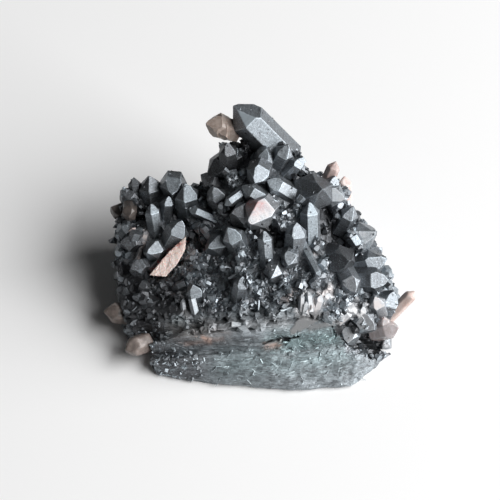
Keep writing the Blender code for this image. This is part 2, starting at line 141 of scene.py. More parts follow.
@dataclass(frozen=True)
class Crystal:
    """A crystal by its head's place on the show face, in millimetres and degrees.

    The deep is painted shade: how much darker its whole coat is painted where it lies in shadow, and the
    red
    how stained its point's upper rim. The cuts and the painted face light go round the point's six faces:
    how high each cuts the axis, in widths, and how much lighter each face is painted, as painted light; a
    step below zero paints shade instead.
    """

    name: str
    across: float
    up: float
    width: float
    length: float
    heading: float
    lean: float
    twist: float = 0.0
    tone: float = 0.5
    bare: float = 0.0
    warm: float = 0.0
    deep: float = 0.0
    red: float = 0.0
    cuts: tuple[float, ...] = ()
    painted_face_light: tuple[float, ...] = (0.0,) * 6


# name, across, up, width, length, heading, lean, twist, tone,
# bare, warm, deep (painted shade), red, cuts, painted light of the point's faces
PLACED_CRYSTALS = [Crystal(*row) for row in (
    (
        "peak", -4.2, 34.0, 8.2, 17.5, 135.0, 24.0, 2.0, 0.55, 0.0, 0.0, 0.0, 0.0,
        (0.44, 0.32, 0.52, 0.5, 0.5, 0.42), (0.7, 0.2, 0.0, 0.0, 0.0, -0.1),
    ),
    ("peak_column", -8.2, 25.8, 4.4, 5.0, 96.0, 38.0, 20.0, 0.1, 0.0, 0.0, 0.85),
    ("peak_speckled", -11.4, 19.6, 6.4, 7.0, 215.0, 20.0, 15.0, 0.1, 0.0, 0.0, 0.7),
    ("peak_side", -13.6, 18.2, 4.4, 9.0, 150.0, 30.0, 10.0, 0.15, 0.0, 0.0, 0.7),
    ("peak_nub", 1.4, 24.6, 3.8, 6.0, 60.0, 58.0, 10.0, 0.7),
    ("peak_prism", 6.6, 25.2, 4.6, 9.0, 60.0, 40.0),
    ("peak_right", 10.0, 22.4, 3.6, 6.0, 45.0, 30.0, 25.0),
    ("brow", -0.8, 17.7, 5.8, 5.0, 250.0, 52.0, -14.0, 0.5),
    ("brow_right", 2.8, 16.8, 4.8, 8.0, 150.0, 36.0, 8.0, 0.65),
    ("brow_low", -3.4, 15.2, 4.2, 8.0, 150.0, 16.0, 0.0, 0.6),
    ("brow_bar", -8.2, 11.6, 2.6, 6.0, 216.0, 16.0, 0.0, 0.75),
    ("brow_left", -11.2, 14.6, 5.0, 9.0, 110.0, 48.0, 12.0, 0.4, 0.0, 0.0, 0.3),
    (
        "heart", -1.2, 8.2, 7.2, 6.0, 228.0, 58.0, -8.0, 0.7, 0.45, 0.3, 0.0, 0.7,
        (0.26, 0.42, 0.5, 0.5, 0.5, 0.42),
    ),
    ("heart_left", -5.6, 9.0, 6.2, 9.0, 170.0, 50.0, 30.0, 0.2, 0.0, 0.0, 0.5),
    ("right_brow", 14.2, 14.8, 9.0, 13.0, 20.0, 68.0, -23.0, 0.4, 0.0, 0.0, 0.35),
    ("right_brow_upper", 18.6, 17.4, 4.2, 7.0, 65.0, 35.0, 20.0),
    ("right_brow_pale", 19.8, 13.2, 5.4, 9.0, 340.0, 45.0, 0.0, 1.0, 0.55),
    ("right_brow_edge", 21.6, 14.6, 3.8, 7.0, 20.0, 24.0, 15.0, 0.6, 0.3),
    ("column", 12.4, 10.4, 4.6, 10.0, 92.0, 25.0, 14.0, 0.9),
    ("column_foot", 8.9, 5.4, 5.0, 6.0, 88.0, 34.0, 18.0, 0.45),
    ("midway_tip", 7.0, -3.0, 4.4, 9.0, 250.0, 58.0, 0.0, 0.5),
    ("midway_left", 1.2, 3.6, 3.6, 8.0, 95.0, 20.0, 18.0, 0.55),
    ("midway_grey", 3.0, -6.4, 4.6, 8.0, 250.0, 60.0, 20.0, 0.25),
    ("needle", 14.6, -6.0, 1.9, 9.0, 298.0, 16.0, 0.0, 0.75),
    ("left_face", -7.2, 4.4, 5.2, 8.0, 120.0, 42.0, 0.0, 0.8),
    ("left_face_low", -12.0, 0.8, 5.6, 8.0, 200.0, 50.0, 10.0, 0.65),
    ("block", -4.4, -7.6, 3.8, 7.0, 80.0, 40.0, 14.0, 0.6),
    ("block_left", -16.4, -9.6, 4.2, 7.0, 100.0, 45.0, 10.0, 0.6),
    ("spark", 13.6, -8.0, 2.8, 5.0, 80.0, 74.0, 8.0, 0.7),
    ("right_round", 21.2, -2.6, 7.0, 10.0, 350.0, 62.0, 20.0, 0.2, 0.0, 0.0, 0.5),
    ("right_first", 27.4, 3.8, 7.0, 10.0, 15.0, 42.0, 5.0, 0.8, 0.35),
    ("right_second", 29.8, -2.6, 7.0, 11.0, 15.0, 30.0, 15.0, 0.5),
    ("right_third", 30.4, -7.6, 6.0, 9.0, 0.0, 24.0, 0.0, 0.4, 0.0, 0.0, 0.3),
    ("right_upper", 22.8, 9.8, 4.4, 7.0, 60.0, 38.0, 5.0, 0.45),
    ("right_inner", 23.2, -9.6, 5.2, 9.0, 300.0, 45.0, 0.0, 0.5, 0.1, 0.3),
    ("right_dark", 33.0, -11.6, 5.2, 6.0, 62.0, 38.0, 25.0, 0.45),
    ("right_pale", 29.0, -12.6, 4.2, 5.0, 110.0, 50.0, 10.0, 0.9, 0.9, 0.25),
    ("right_low", 27.6, -19.0, 5.8, 8.0, 325.0, 44.0, 0.0, 0.6, 0.2, 0.3),
    ("right_cluster", 22.2, -22.2, 4.8, 8.0, 250.0, 52.0, 20.0, 0.75, 0.45),
    ("right_foot", 32.0, -24.0, 4.4, 8.0, 320.0, 40.0, 10.0, 0.7, 0.5, 0.1),
    ("left_stand", -31.8, 17.4, 3.0, 9.0, 94.0, 20.0, 10.0, 0.2, 0.0, 0.0, 0.5),
    ("left_edge", -34.2, 14.2, 4.4, 9.0, 132.0, 28.0, 22.0, 0.2, 0.0, 0.0, 0.5),
    ("left_block", -27.8, 17.0, 5.8, 10.0, 95.0, 30.0, 25.0, 0.3, 0.0, 0.0, 0.3),
    ("left_point", -22.0, 14.8, 6.0, 5.0, 265.0, 62.0, 0.0, 0.65),
    ("left_bright", -23.2, 12.6, 3.2, 8.0, 80.0, 36.0, 16.0, 0.6),
    ("left_tall", -18.6, 15.0, 6.0, 11.0, 100.0, 34.0, 14.0, 0.7),
    ("left_bar", -17.0, 10.2, 2.8, 7.0, 157.0, 16.0, 0.0, 0.85),
    ("left_column", -27.2, 10.4, 3.8, 11.0, 100.0, 22.0, 20.0, 0.75),
    ("left_middle", -20.0, 6.0, 5.6, 9.0, 60.0, 38.0, 14.0, 0.6),
    ("left_round", -27.4, -0.4, 5.0, 7.0, 200.0, 60.0, 12.0),
    ("left_low", -33.8, 2.0, 4.6, 8.0, 180.0, 40.0, 10.0, 0.2, 0.0, 0.0, 0.5),
    ("vein_top", -28.7, 4.5, 1.9, 2.0, 70.0, 4.0, 10.0, 0.5, 1.0, 0.4),
    ("vein_upper", -29.3, 2.5, 1.7, 2.4, 72.0, 4.0, 20.0, 0.5, 1.0, 0.45),
    ("vein_lower", -29.9, 0.4, 1.5, 2.4, 78.0, 4.0, 0.0, 0.5, 1.0, 0.4),
    ("vein_foot", -30.5, -1.6, 1.3, 2.4, 80.0, 4.0, 15.0, 0.5, 1.0, 0.45),
    ("vein_chip", -31.6, 5.4, 1.4, 2.0, 35.0, 6.0, 0.0, 0.4, 0.8, 0.8),
    ("rib_upper", -17.0, -11.6, 2.0, 5.0, 104.0, 8.0, 14.0, 0.95, 0.3),
    ("rib_lower", -15.0, -13.4, 1.3, 4.0, 100.0, 8.0, 10.0, 0.8, 0.25),
    ("rib_left", -19.2, -12.6, 1.4, 5.0, 95.0, 8.0, 15.0, 0.85, 0.3),
    ("rib_low", -17.8, -15.6, 1.3, 4.0, 84.0, 6.0, 14.0, 0.8, 0.3),
    ("white_left", 10.4, -11.4, 1.5, 4.0, 88.0, 10.0, 10.0, 0.9, 0.9),
    ("white_middle", 12.0, -10.8, 1.8, 4.5, 96.0, 12.0, 14.0, 0.9, 0.95),
    ("white_low", 11.4, -13.2, 1.4, 3.0, 80.0, 10.0, 0.0, 0.9, 0.9),
    ("white_right", 15.0, -11.8, 2.4, 3.5, 70.0, 20.0, 12.0, 0.9, 0.8, 0.15),
    ("white_edge", 17.0, -11.2, 1.8, 3.0, 50.0, 24.0, 10.0, 0.9, 0.7, 0.1),
    ("pale_left", 22.6, -15.6, 2.4, 4.0, 40.0, 16.0, 10.0, 0.9, 0.8, 0.15),
    ("pale_right", 25.8, -14.8, 2.2, 4.0, 74.0, 16.0, 10.0, 0.9, 0.8, 0.05),
    ("left_lowest", -31.4, -4.6, 4.2, 8.0, 190.0, 50.0, 25.0, 0.2),
)]

# The upper border of the broken rock on the show face: across and up
ROCK_BORDER: Sequence[Pair] = [
    (-40.0, -31.0), (-30.0, -27.0), (-27.0, -24.0), (-24.0, -17.6), (-20.0, -16.2), (-8.6, -15.8),
    (1.2, -15.0), (6.0, -14.4), (10.0, -13.0), (15.0, -14.0), (16.5, -17.0), (20.0, -17.6),
    (21.5, -26.0), (31.0, -27.5), (40.0, -28.0),
]
# The rock's tone by the place across
ROCK_TONES: Sequence[Pair] = [(-28.0, 0.0), (-16.0, 0.14), (0.0, 0.26), (14.0, 0.28), (28.0, 0.2)]

# The streaks of each mark: start, end, radius, share, blur. Where some overlap, the largest counts
PATCHES = {mark: [Patch(*row) for row in rows] for mark, rows in {
    Mark.TEAL: [
        ((4.0, -23.4), (19.0, -21.6), 2.6, 0.8, 3.0), ((-8.0, -28.6), (20.0, -26.6), 3.4, 0.45, 4.0),
        ((-22.0, -18.6), (-15.0, -20.4), 1.8, 0.4, 1.5),
    ],
    Mark.SMOOTH: [
        ((8.4, -20.1), (10.6, -16.3), 0.8, 1.0, 0.2), ((9.8, -19.6), (12.8, -16.0), 0.9, 1.0, 0.2),
        ((11.2, -18.8), (15.2, -15.8), 0.8, 1.0, 0.2), ((12.6, -19.4), (21.4, -17.4), 0.7, 0.8, 0.4),
        ((-35.0, 11.6), (-33.2, 9.0), 1.9),
    ],
    Mark.CRUMB: [
        ((-27.0, -27.0), (-18.6, -29.6), 4.0, 0.9, 2.0), ((-26.0, -22.0), (-24.6, -19.6), 1.8, 0.8, 1.2),
        ((30.6, -25.6), (33.6, -26.6), 1.6, 0.8, 1.0),
    ],
    Mark.BLADED: [
        ((-18.0, -9.4), (3.0, -9.6), 8.6, 1.0, 3.0), ((6.0, -7.0), (12.0, -9.0), 3.0, 1.0, 2.0),
        ((10.6, -11.6), (17.2, -12.0), 2.6, 1.0, 1.0), ((21.4, -16.0), (27.0, -15.6), 2.2, 1.0, 1.0),
    ],
    Mark.BARE: [
        ((10.2, -15.0), (11.4, -10.2), 1.3), ((13.4, -13.4), (17.2, -10.4), 1.7),
        ((21.4, -16.6), (24.0, -14.4), 1.4),
        ((24.6, -17.0), (26.8, -14.2), 1.1, 0.8), ((-14.2, -21.7), (-12.8, -22.6), 0.5, 0.9),
        ((1.8, -23.8), (3.6, -23.4), 0.4, 0.7), ((-28.6, 4.4), (-30.0, 1.2), 0.8),
        ((-30.0, 1.2), (-30.8, -3.0), 0.55), ((-34.2, 3.4), (-31.8, 5.2), 0.45, 0.7),
        ((13.6, -0.6), (14.0, -0.4), 0.6, 0.8), ((8.2, -10.2), (5.8, -13.0), 0.5, 0.6),
        ((31.4, -23.4), (33.2, -25.8), 1.2, 0.6, 1.0), ((-20.0, -19.2), (6.0, -18.0), 1.5, 0.3, 1.5),
        ((-19.4, -10.6), (-17.2, -14.0), 0.9, 0.5, 0.8), ((-19.0, -13.6), (-17.6, -18.8), 0.7, 0.5, 0.8),
        ((-23.0, -19.0), (-15.0, -19.6), 1.5, 0.4, 1.5),
    ],
    Mark.WARM: [
        ((13.4, -13.8), (16.4, -10.6), 1.8, 0.25), ((-21.0, -21.0), (-9.0, -20.6), 1.6, 0.3, 2.4),
        ((-14.2, -21.7), (-12.8, -22.6), 0.9, 1.0, 0.6), ((-18.4, -23.4), (-9.2, -21.9), 0.5, 0.7, 0.8),
        ((1.6, -23.9), (4.6, -23.6), 0.8, 0.8, 0.8), ((-27.6, -26.4), (-25.6, -25.0), 0.8, 0.8, 0.8),
        ((-28.6, 4.4), (-30.8, -3.0), 1.6, 0.6), ((-34.2, 3.4), (-31.8, 5.2), 1.0, 0.7),
        ((13.6, -0.6), (14.0, -0.4), 1.0, 0.5), ((8.2, -10.2), (5.8, -13.0), 0.9, 0.6),
    ],
    Mark.RED: [
        ((2.0, 31.4), (2.2, 31.2), 0.3), ((34.4, -11.9), (34.8, -12.2), 0.4),
        ((-27.2, -5.0), (-24.4, -1.9), 0.35, 0.9, 0.5), ((-24.4, -1.9), (-18.8, 2.6), 0.45, 0.9, 0.6),
    ],
    Mark.SCALY: [
        ((-34.0, -9.0), (-22.0, -13.0), 6.0), ((-30.0, -17.0), (-22.0, -17.0), 3.4),
    ],
    # Deep places, sunk and darkened as painted shade: recesses among the crystals and the crevice under
    # the ledge
    Mark.DEEP_SHADE: [
        ((-6.0, 28.2), (-2.2, 26.4), 2.2), ((-11.0, 19.6), (-3.0, 22.6), 1.7),
        ((-6.2, 11.4), (-5.4, 6.6), 1.8), ((-0.6, 5.4), (4.4, 2.6), 2.4),
        ((15.4, 8.6), (19.4, 1.0), 3.0), ((23.0, -1.0), (26.4, -5.6), 1.8),
        ((6.6, 19.6), (11.4, 17.4), 1.7), ((-30.4, 17.0), (-29.2, 9.0), 1.5),
        ((-22.8, 8.6), (-15.4, 1.4), 1.8),
        ((21.0, -19.6), (28.0, -24.0), 2.6), ((0.8, -23.2), (4.4, -22.2), 0.16, 0.9, 0.3),
        ((4.4, -22.1), (7.2, -22.2), 0.5, 1.0, 0.3), ((7.2, -22.0), (9.4, -21.6), 0.24, 1.0, 0.3),
        ((-24.6, -22.6), (-17.0, -23.6), 0.5, 0.5, 1.2), ((-17.0, -23.6), (-9.4, -22.9), 0.35, 0.5, 1.2),
        ((-9.4, -22.9), (0.6, -23.0), 0.2, 0.5, 0.8),
    ],
}.items()}
# How far deep places are sunk, in millimetres
DEEP_SINK = 2.2
# Faces take the full painted light from this cosine to the sight line, give or take the blur
PAINTED_LIGHT_FROM = 0.84
PAINTED_LIGHT_BLUR = 0.1
# Faces under this area, in squared widths, are the rounded edges, painted lighter by this tone as a
# painted highlight
EDGE_AREA = 0.035
EDGE_HIGHLIGHT = 0.3
# A crystal's tone and bareness on faces that look aside, and the painted light that looking outward adds
# to each
TONE_ASIDE, TONE_PAINTED_LIGHT = 0.6, 0.5
BARE_ASIDE, BARE_PAINTED_LIGHT = 0.3, 1.3
# How uneven a placed crystal's faces are
FACE_TONE = 0.08
# Faces that rise more than this along the crystal's axis belong to its point
POINT_RISE = 0.3
# How far the point reaches down from its tip, and the stain down from the upper rim, in widths
POINT_SHARE = 0.65
RED_REACH = 0.35
# A grain's faces differ in tone by a wave over their normals and the grain's number
FACE_MIX = np.array([2.9, 7.3, 5.1])
GRAIN_MIX = 1.3
GRAIN_FACE_TONE = 0.3


def hand_over(piece: Piece, slot: str, finish: Material, *nodes: str) -> None:
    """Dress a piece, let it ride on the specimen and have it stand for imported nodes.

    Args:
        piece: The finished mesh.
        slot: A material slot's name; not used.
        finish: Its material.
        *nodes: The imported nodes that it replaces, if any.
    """
    piece.data.materials.append(finish)
    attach(piece, BODY)
    if nodes:
        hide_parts(*nodes)
    triangles = sum(len(face.vertices) - 2 for face in piece.data.polygons)
    LOG.info("%s: %d triangles", piece.name, triangles)


class Bench:
    """Object and edit mode's operators, on one piece at a time."""

    @staticmethod
    def add(name: str, data: bpy.types.ID | None) -> bpy.types.Object:
        """Put an object into the scene.

        Args:
            name: Its name.
            data: Its mesh, light or camera, or None for an empty one.

        Returns:
            The object.
        """
        added = bpy.data.objects.new(name, data)
        bpy.context.scene.collection.objects.link(added)
        return added

    @staticmethod
    def only(piece: Piece) -> None:
        """Select a piece alone and make it active.

        Args:
            piece: The piece.
        """
        bpy.ops.object.select_all(action="DESELECT")
        piece.select_set(True)
        bpy.context.view_layer.objects.active = piece

    @staticmethod
    @contextmanager
    def editing(piece: Piece) -> Iterator[None]:
        """Edit mode on a piece, all of it selected.

        Args:
            piece: The piece to work on.

        Returns:
            A context that goes back to object mode when it ends.
        """
        Bench.only(piece)
        bpy.ops.object.mode_set(mode="EDIT")
        bpy.ops.mesh.select_all(action="SELECT")
        yield
        bpy.ops.object.mode_set(mode="OBJECT")

    @staticmethod
    def finish(piece: Piece, kind: str, **settings: object) -> None:
        """Add a modifier with its settings and apply it.

        Args:
            piece: The piece to finish.
            kind: The modifier's type.
            **settings: Values of the modifier's own properties.
        """
        Bench.only(piece)
        modifier = piece.modifiers.new(kind.lower(), kind)
        for key, value in settings.items():
            setattr(modifier, key, value)
        bpy.ops.object.modifier_apply(modifier=modifier.name)

    @staticmethod
    def trim(place: Sequence[float], normal: Sequence[float]) -> None:
        """Cut off what lies beyond a plane and close the cut, in edit mode."""
        bpy.ops.mesh.select_all(action="SELECT")
        bpy.ops.mesh.bisect(plane_co=place, plane_no=normal, use_fill=True, clear_outer=True)

    @staticmethod
    def move(piece: Piece, points: np.ndarray) -> None:
        """Give a piece's vertices new places, in metres."""
        piece.data.vertices.foreach_set("co", points.ravel())
        piece.data.update()

    @staticmethod
    def copy_of(node: str, name: str) -> Piece:
        """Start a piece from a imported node's shape, its loose triangles merged.

        Args:
            node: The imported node's name.
            name: The new piece's name.

        Returns:
            The new piece, with no material.
        """
        piece = Bench.add(name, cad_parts[node].data.copy())
        piece.data.materials.clear()
        with Bench.editing(piece):
            bpy.ops.mesh.customdata_custom_splitnormals_clear()
            bpy.ops.mesh.remove_doubles(threshold=WELD)
            bpy.ops.mesh.dissolve_limited(angle_limit=FLAT_ANGLE)
        return piece

    @staticmethod
    def even_copy(node: str, name: str, voxel: float) -> Piece:
        """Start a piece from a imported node's shape, remeshed in even faces.

        Args:
            node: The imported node's name.
            name: The new piece's name.
            voxel: The faces' size in millimetres.

        Returns:
            The new piece, with no material.
        """
        piece = Bench.copy_of(node, name)
        Bench.finish(piece, "REMESH", mode="VOXEL", voxel_size=voxel * MM)
        return piece

    @staticmethod
    def join(pieces: Sequence[Piece], name: str) -> Piece:
        """Join pieces into one.

        Args:
            pieces: The pieces, the first of which takes the others in.
            name: The joined piece's name.

        Returns:
            The joined piece.
        """
        Bench.only(pieces[0])
        for piece in pieces[1:]:
            piece.select_set(True)
        bpy.ops.object.join()
        pieces[0].name = name
        pieces[0].data.name = name
        return pieces[0]


@dataclass(frozen=True)
class Relief:
    """Noise that a Displace modifier cuts into a piece, in millimetres and degrees."""

    size: Triple
    strength: float
    basis: str = "ORIGINAL_PERLIN"
    depth: int = 2
    hard: bool = False
    turn: Triple = (0.0, 0.0, 0.0)
    level: float = 0.5

    def cut(self, piece: Piece) -> None:
        """Displace a piece by this noise, laid out by a guide that is removed again.

        Args:
            piece: The piece.
        """
        guide = Bench.add("relief_guide", None)
        guide.scale = [side * MM for side in self.size]
        guide.rotation_euler = [math.radians(angle) for angle in self.turn]
        bpy.context.view_layer.update()
        texture = bpy.data.textures.new("relief", "CLOUDS")
        texture.noise_scale = 1.0
        texture.noise_basis = self.basis
        texture.noise_depth = self.depth
        texture.noise_type = "HARD_NOISE" if self.hard else "SOFT_NOISE"
        Bench.finish(
            piece, "DISPLACE", texture=texture, texture_coords="OBJECT", texture_coords_object=guide,
            strength=self.strength * MM, mid_level=self.level,
        )
        bpy.data.objects.remove(guide)
        bpy.data.textures.remove(texture)


def show_places(points: np.ndarray) -> np.ndarray:
    """Across, up and toward, in millimetres, of points in metres, as rows."""
    axes = np.array([RIGHT, UPWARD, TOWARD])
    return (points - np.array(FACE_ORIGIN)) @ axes.T / MM


def wobble(places: np.ndarray, size: float) -> np.ndarray:
    """Smooth wavering between about -1 and 1 over places.

    Args:
        places: Places as rows, in millimetres.
        size: Length of a wave in millimetres.

    Returns:
        One value per place.
    """
    total = np.zeros(len(places))
    for index, run in enumerate(WAVE_RUNS):
        total += np.sin(places @ np.array(run) * math.tau / size + index * WAVE_SHIFT) / 2.0
    return np.clip(total, -1.0, 1.0)


def soft_step(values: np.ndarray, blur: float) -> np.ndarray:
    """Step from 0 to 1 around zero over a blur."""
    share = np.clip(values / blur * 0.5 + 0.5, 0.0, 1.0)
    return share * share * (3.0 - 2.0 * share)


@dataclass(frozen=True)
class Survey:
    """Tells what shows where on the specimen, in millimetres.

    The rags are the lengths and shares of the waves that make all borders ragged.
    """

    front_depth: float = 8.0
    front_blur: float = 2.0
    border_blur: float = 1.2
    rags: tuple[Pair, ...] = ((3.1, 0.6), (1.3, 0.4))
    border_rag: float = 0.7
    patch_rag: float = 0.3
    widest_rag: float = 2.0

    def shares(self, points: np.ndarray, rock_inside: bool = False) -> dict[Mark, np.ndarray]:
        """Share of each mark at some points.

        Args:
            points: Points in metres, as rows.
            rock_inside: True if rock also shows away from the show face.

        Returns:
            One value from 0 to 1 per point for each mark.
        """
        places = show_places(points)
        ragged = sum(wobble(places, size) * share for size, share in self.rags)
        front = soft_step(places[:, 2] - self.front_depth, self.front_blur)
        across, up = np.array(ROCK_BORDER).T
        border = np.interp(places[:, 0], across, up)
        below = soft_step(border - places[:, 1] + ragged * self.border_rag, self.border_blur)
        shares = {mark: np.zeros(len(points)) for mark in Mark}
        shares[Mark.ROCK] = below * front + (1.0 - front) * float(rock_inside)
        for mark, patches in PATCHES.items():
            for patch in patches:
                rag = ragged * self.patch_rag * min(patch.radius, self.widest_rag)
                distance = self.distance(places, patch) + rag
                share = soft_step(patch.radius - distance, patch.blur) * front * patch.share
                shares[mark] = np.maximum(shares[mark], share)
        shares[Mark.ROCK] *= 1.0 - shares[Mark.CRUMB]
        return shares

    @staticmethod
    def distance(places: np.ndarray, patch: Patch) -> np.ndarray:
        """Distance of places from a patch's middle line.

        Args:
            places: Places as rows, in millimetres.
            patch: The patch.

        Returns:
            One distance per place, in millimetres.
        """
        start = np.array(patch.start)
        along = np.array(patch.end) - start
        offset = places[:, :2] - start
        share = np.clip(offset @ along / max(along @ along, 1e-9), 0.0, 1.0)
        return np.linalg.norm(offset - share[:, None] * along, axis=1)


def write_attribute(piece: Piece, name: str, values: np.ndarray, domain: str) -> None:
    """Store one number per POINT or FACE of a piece."""
    attribute = piece.data.attributes.new(name, "FLOAT", domain)
    attribute.data.foreach_set("value", np.ascontiguousarray(values, dtype=np.float32))


def points_of(piece: Piece) -> np.ndarray:
    """Read where a piece's vertices are.

    Args:
        piece: The piece.

    Returns:
        The vertices as rows, in metres.
    """
    points = np.empty(len(piece.data.vertices) * 3)
    piece.data.vertices.foreach_get("co", points)
    return points.reshape(-1, 3)


def write_survey(
    piece: Piece, survey: Survey, tones: Sequence[Pair], rock_inside: bool = False,
) -> None:
    """Store a survey's shares and a tone on every point of a piece.

    Args:
        piece: The piece.
        survey: Tells what shows where.
        tones: Tones by their place across, in millimetres from left to right.
        rock_inside: True if rock also shows away from the show face.
    """
    points = points_of(piece)
    for mark, share in survey.shares(points, rock_inside).items():
        write_attribute(piece, mark.value, share, "POINT")
    across, levels = np.array(tones).T
    write_attribute(piece, "tone", np.interp(show_places(points)[:, 0], across, levels), "POINT")


class Surface:
    """The faces of some pieces in one search tree."""

    def __init__(self, pieces: Sequence[Piece]) -> None:
        """Collect the faces of pieces.

        Args:
            pieces: The pieces, whose origins are the frame's own.
        """
        points: list[Vector] = []
        faces: list[list[int]] = []
        for piece in pieces:
            start = len(points)
            points += [vertex.co.copy() for vertex in piece.data.vertices]
            faces += [[start + index for index in face.vertices] for face in piece.data.polygons]
        self.tree = BVHTree.FromPolygons(points, faces)

    def seen(self, across: float, up: float) -> Vector:
        """Point that is seen at a place of the show face."""
        sight = FACE_ORIGIN + (RIGHT * across + UPWARD * up) * MM
        return self.tree.ray_cast(sight + TOWARD * REACH, -TOWARD)[0]

    def near(self, points: np.ndarray, reaches: np.ndarray) -> np.ndarray:
        """Tell which points lie inside the pieces or have a face within reach.

        Args:
            points: Points as rows, in metres.
            reaches: Each point's own reach, in metres.

        Returns:
            True or False per point.
        """
        found = []
        for point, reach in zip(points, reaches):
            place, normal, _, distance = self.tree.find_nearest(Vector(point))
            found.append(distance < reach or (Vector(point) - place).dot(normal) < 0.0)
        return np.array(found, bool)


class CrystalCutter:
    """Grows six-sided quartz crystals with operators."""

    @staticmethod
    def grow(
        name: str, width: float, length: float, bevel: float, twist: float = 0.0,
        cuts: Sequence[float] = (),
    ) -> Piece:
        """Make one crystal with its head at the origin and its point toward +Z.

        Args:
            name: The piece's name, which also seeds its unevenness.
            width: Width across the prism's flats, in metres.
            length: Length of the prism below the head, in metres.
            bevel: Width of the rounding along its edges, in metres, or 0 for none.
            twist: Turn about its own axis, in radians.
            cuts: How high each of the point's faces cuts the axis, in widths, or none for
                uneven ones.

        Returns:
            The crystal.
        """
        radius = width / 2.0 / math.cos(math.pi / 6.0)
        bpy.ops.object.select_all(action="DESELECT")
        bpy.ops.mesh.primitive_cone_add(
            vertices=6, radius1=radius, radius2=radius * PRISM_TAPER, depth=length + width,
            end_fill_type="NGON", location=(0.0, 0.0, (width - length) / 2.0),
        )
        piece = bpy.context.object
        piece.name = name
        piece.data.transform(Matrix.Translation(piece.location))
        piece.location = (0.0, 0.0, 0.0)
        uneven = random.Random(name)
        steps = [TIP_HEIGHT + MINOR_FACE_SETBACK * (side % 2) for side in range(6)]
        cuts = cuts or [step + uneven.uniform(0.0, UNEVEN_SETBACK) for step in steps]
        with Bench.editing(piece):
            for side, setback in enumerate(cuts):
                facing = math.radians(SIXTH_TURN * side)
                dip = math.sin(POINT_DIP)
                normal = (math.cos(facing) * dip, math.sin(facing) * dip, math.cos(POINT_DIP))
                Bench.trim((0.0, 0.0, width * setback), normal)
            bpy.ops.mesh.select_all(action="SELECT")
            if bevel:
                bpy.ops.mesh.bevel(offset=bevel, segments=2, profile=0.6, clamp_overlap=True)
                bpy.ops.mesh.select_all(action="SELECT")
                bpy.ops.mesh.remove_doubles(threshold=WELD * 5.0)
        flattened = Matrix.Diagonal((uneven.uniform(*FLATTENING), 1.0, 1.0, 1.0))
        piece.data.transform(Matrix.Rotation(twist, 4, "Z") @ flattened)
        return piece


@dataclass(frozen=True)
class Form:
    """A small shape as arrays, one unit wide, that many grains are copied from."""

    points: np.ndarray
    triangles: np.ndarray

    @staticmethod
    def taken_from(piece: Piece) -> "Form":
        """Read a piece's shape and remove the piece.

        Args:
            piece: The modelled shape.

        Returns:
            The shape as arrays.
        """
        with Bench.editing(piece):
            bpy.ops.mesh.quads_convert_to_tris()
        points = points_of(piece) / FORM_SIZE
        triangles = np.array([tuple(face.vertices) for face in piece.data.polygons])
        bpy.data.objects.remove(piece)
        return Form(points, triangles)


class Ground:
    """A piece's surface, for striking places on it at random."""

    def __init__(self, piece: Piece, rock_inside: bool = False) -> None:
        """Read the piece's triangles.

        Args:
            piece: The piece.
            rock_inside: True if it shows rock away from the show face.
        """
        self.rock_inside = rock_inside
        mesh = piece.data
        mesh.calc_loop_triangles()
        triangles = np.empty(len(mesh.loop_triangles) * 3, np.int32)
        mesh.loop_triangles.foreach_get("vertices", triangles)
        self.corners = points_of(piece)[triangles.reshape(-1, 3)]
        first, second, third = self.corners.transpose(1, 0, 2)
        cross = np.cross(second - first, third - first)
        doubled = np.linalg.norm(cross, axis=1)
        self.normals = cross / np.maximum(doubled, 1e-15)[:, None]
        self.heaped = np.cumsum(doubled) / doubled.sum()

    def strike(self, dice: np.random.Generator, count: int) -> tuple[np.ndarray, np.ndarray]:
        """Strike places in proportion to the surface's area.

        Args:
            dice: Random numbers.
            count: How many places.

        Returns:
            The places in metres and the surface's normals there.
        """
        chosen = np.searchsorted(self.heaped, dice.random(count))
        first, second = np.sqrt(dice.random(count)), dice.random(count)
        shares = np.stack([1.0 - first, first * (1.0 - second), first * second], axis=1)
        return np.einsum("nk,nkj->nj", shares, self.corners[chosen]), self.normals[chosen]


def unit(vectors: np.ndarray) -> np.ndarray:
    """Rows scaled to length one."""
    return vectors / np.maximum(np.linalg.norm(vectors, axis=1), 1e-12)[:, None]


def thinned(points: np.ndarray, spacing: np.ndarray) -> np.ndarray:
    """Keep points that stand clear of those kept before them.

    Args:
        points: Points as rows.
        spacing: Each point's own distance.

    Returns:
        Indices of the kept points.
    """
    cell = float(spacing.max())
    cells: dict[tuple[int, ...], list[int]] = {}
    kept: list[int] = []
    for index, point in enumerate(points):
        key = tuple(int(value) for value in point // cell)
        around = [
            other for x in (-1, 0, 1) for y in (-1, 0, 1) for z in (-1, 0, 1)
            for other in cells.get((key[0] + x, key[1] + y, key[2] + z), ())
        ]
        reaches = ((other, (spacing[index] + spacing[other]) / 2.0) for other in around)
        if any(np.linalg.norm(points[other] - point) < reach for other, reach in reaches):
            continue
        cells.setdefault(key, []).append(index)
        kept.append(index)
    return np.array(kept, dtype=int)


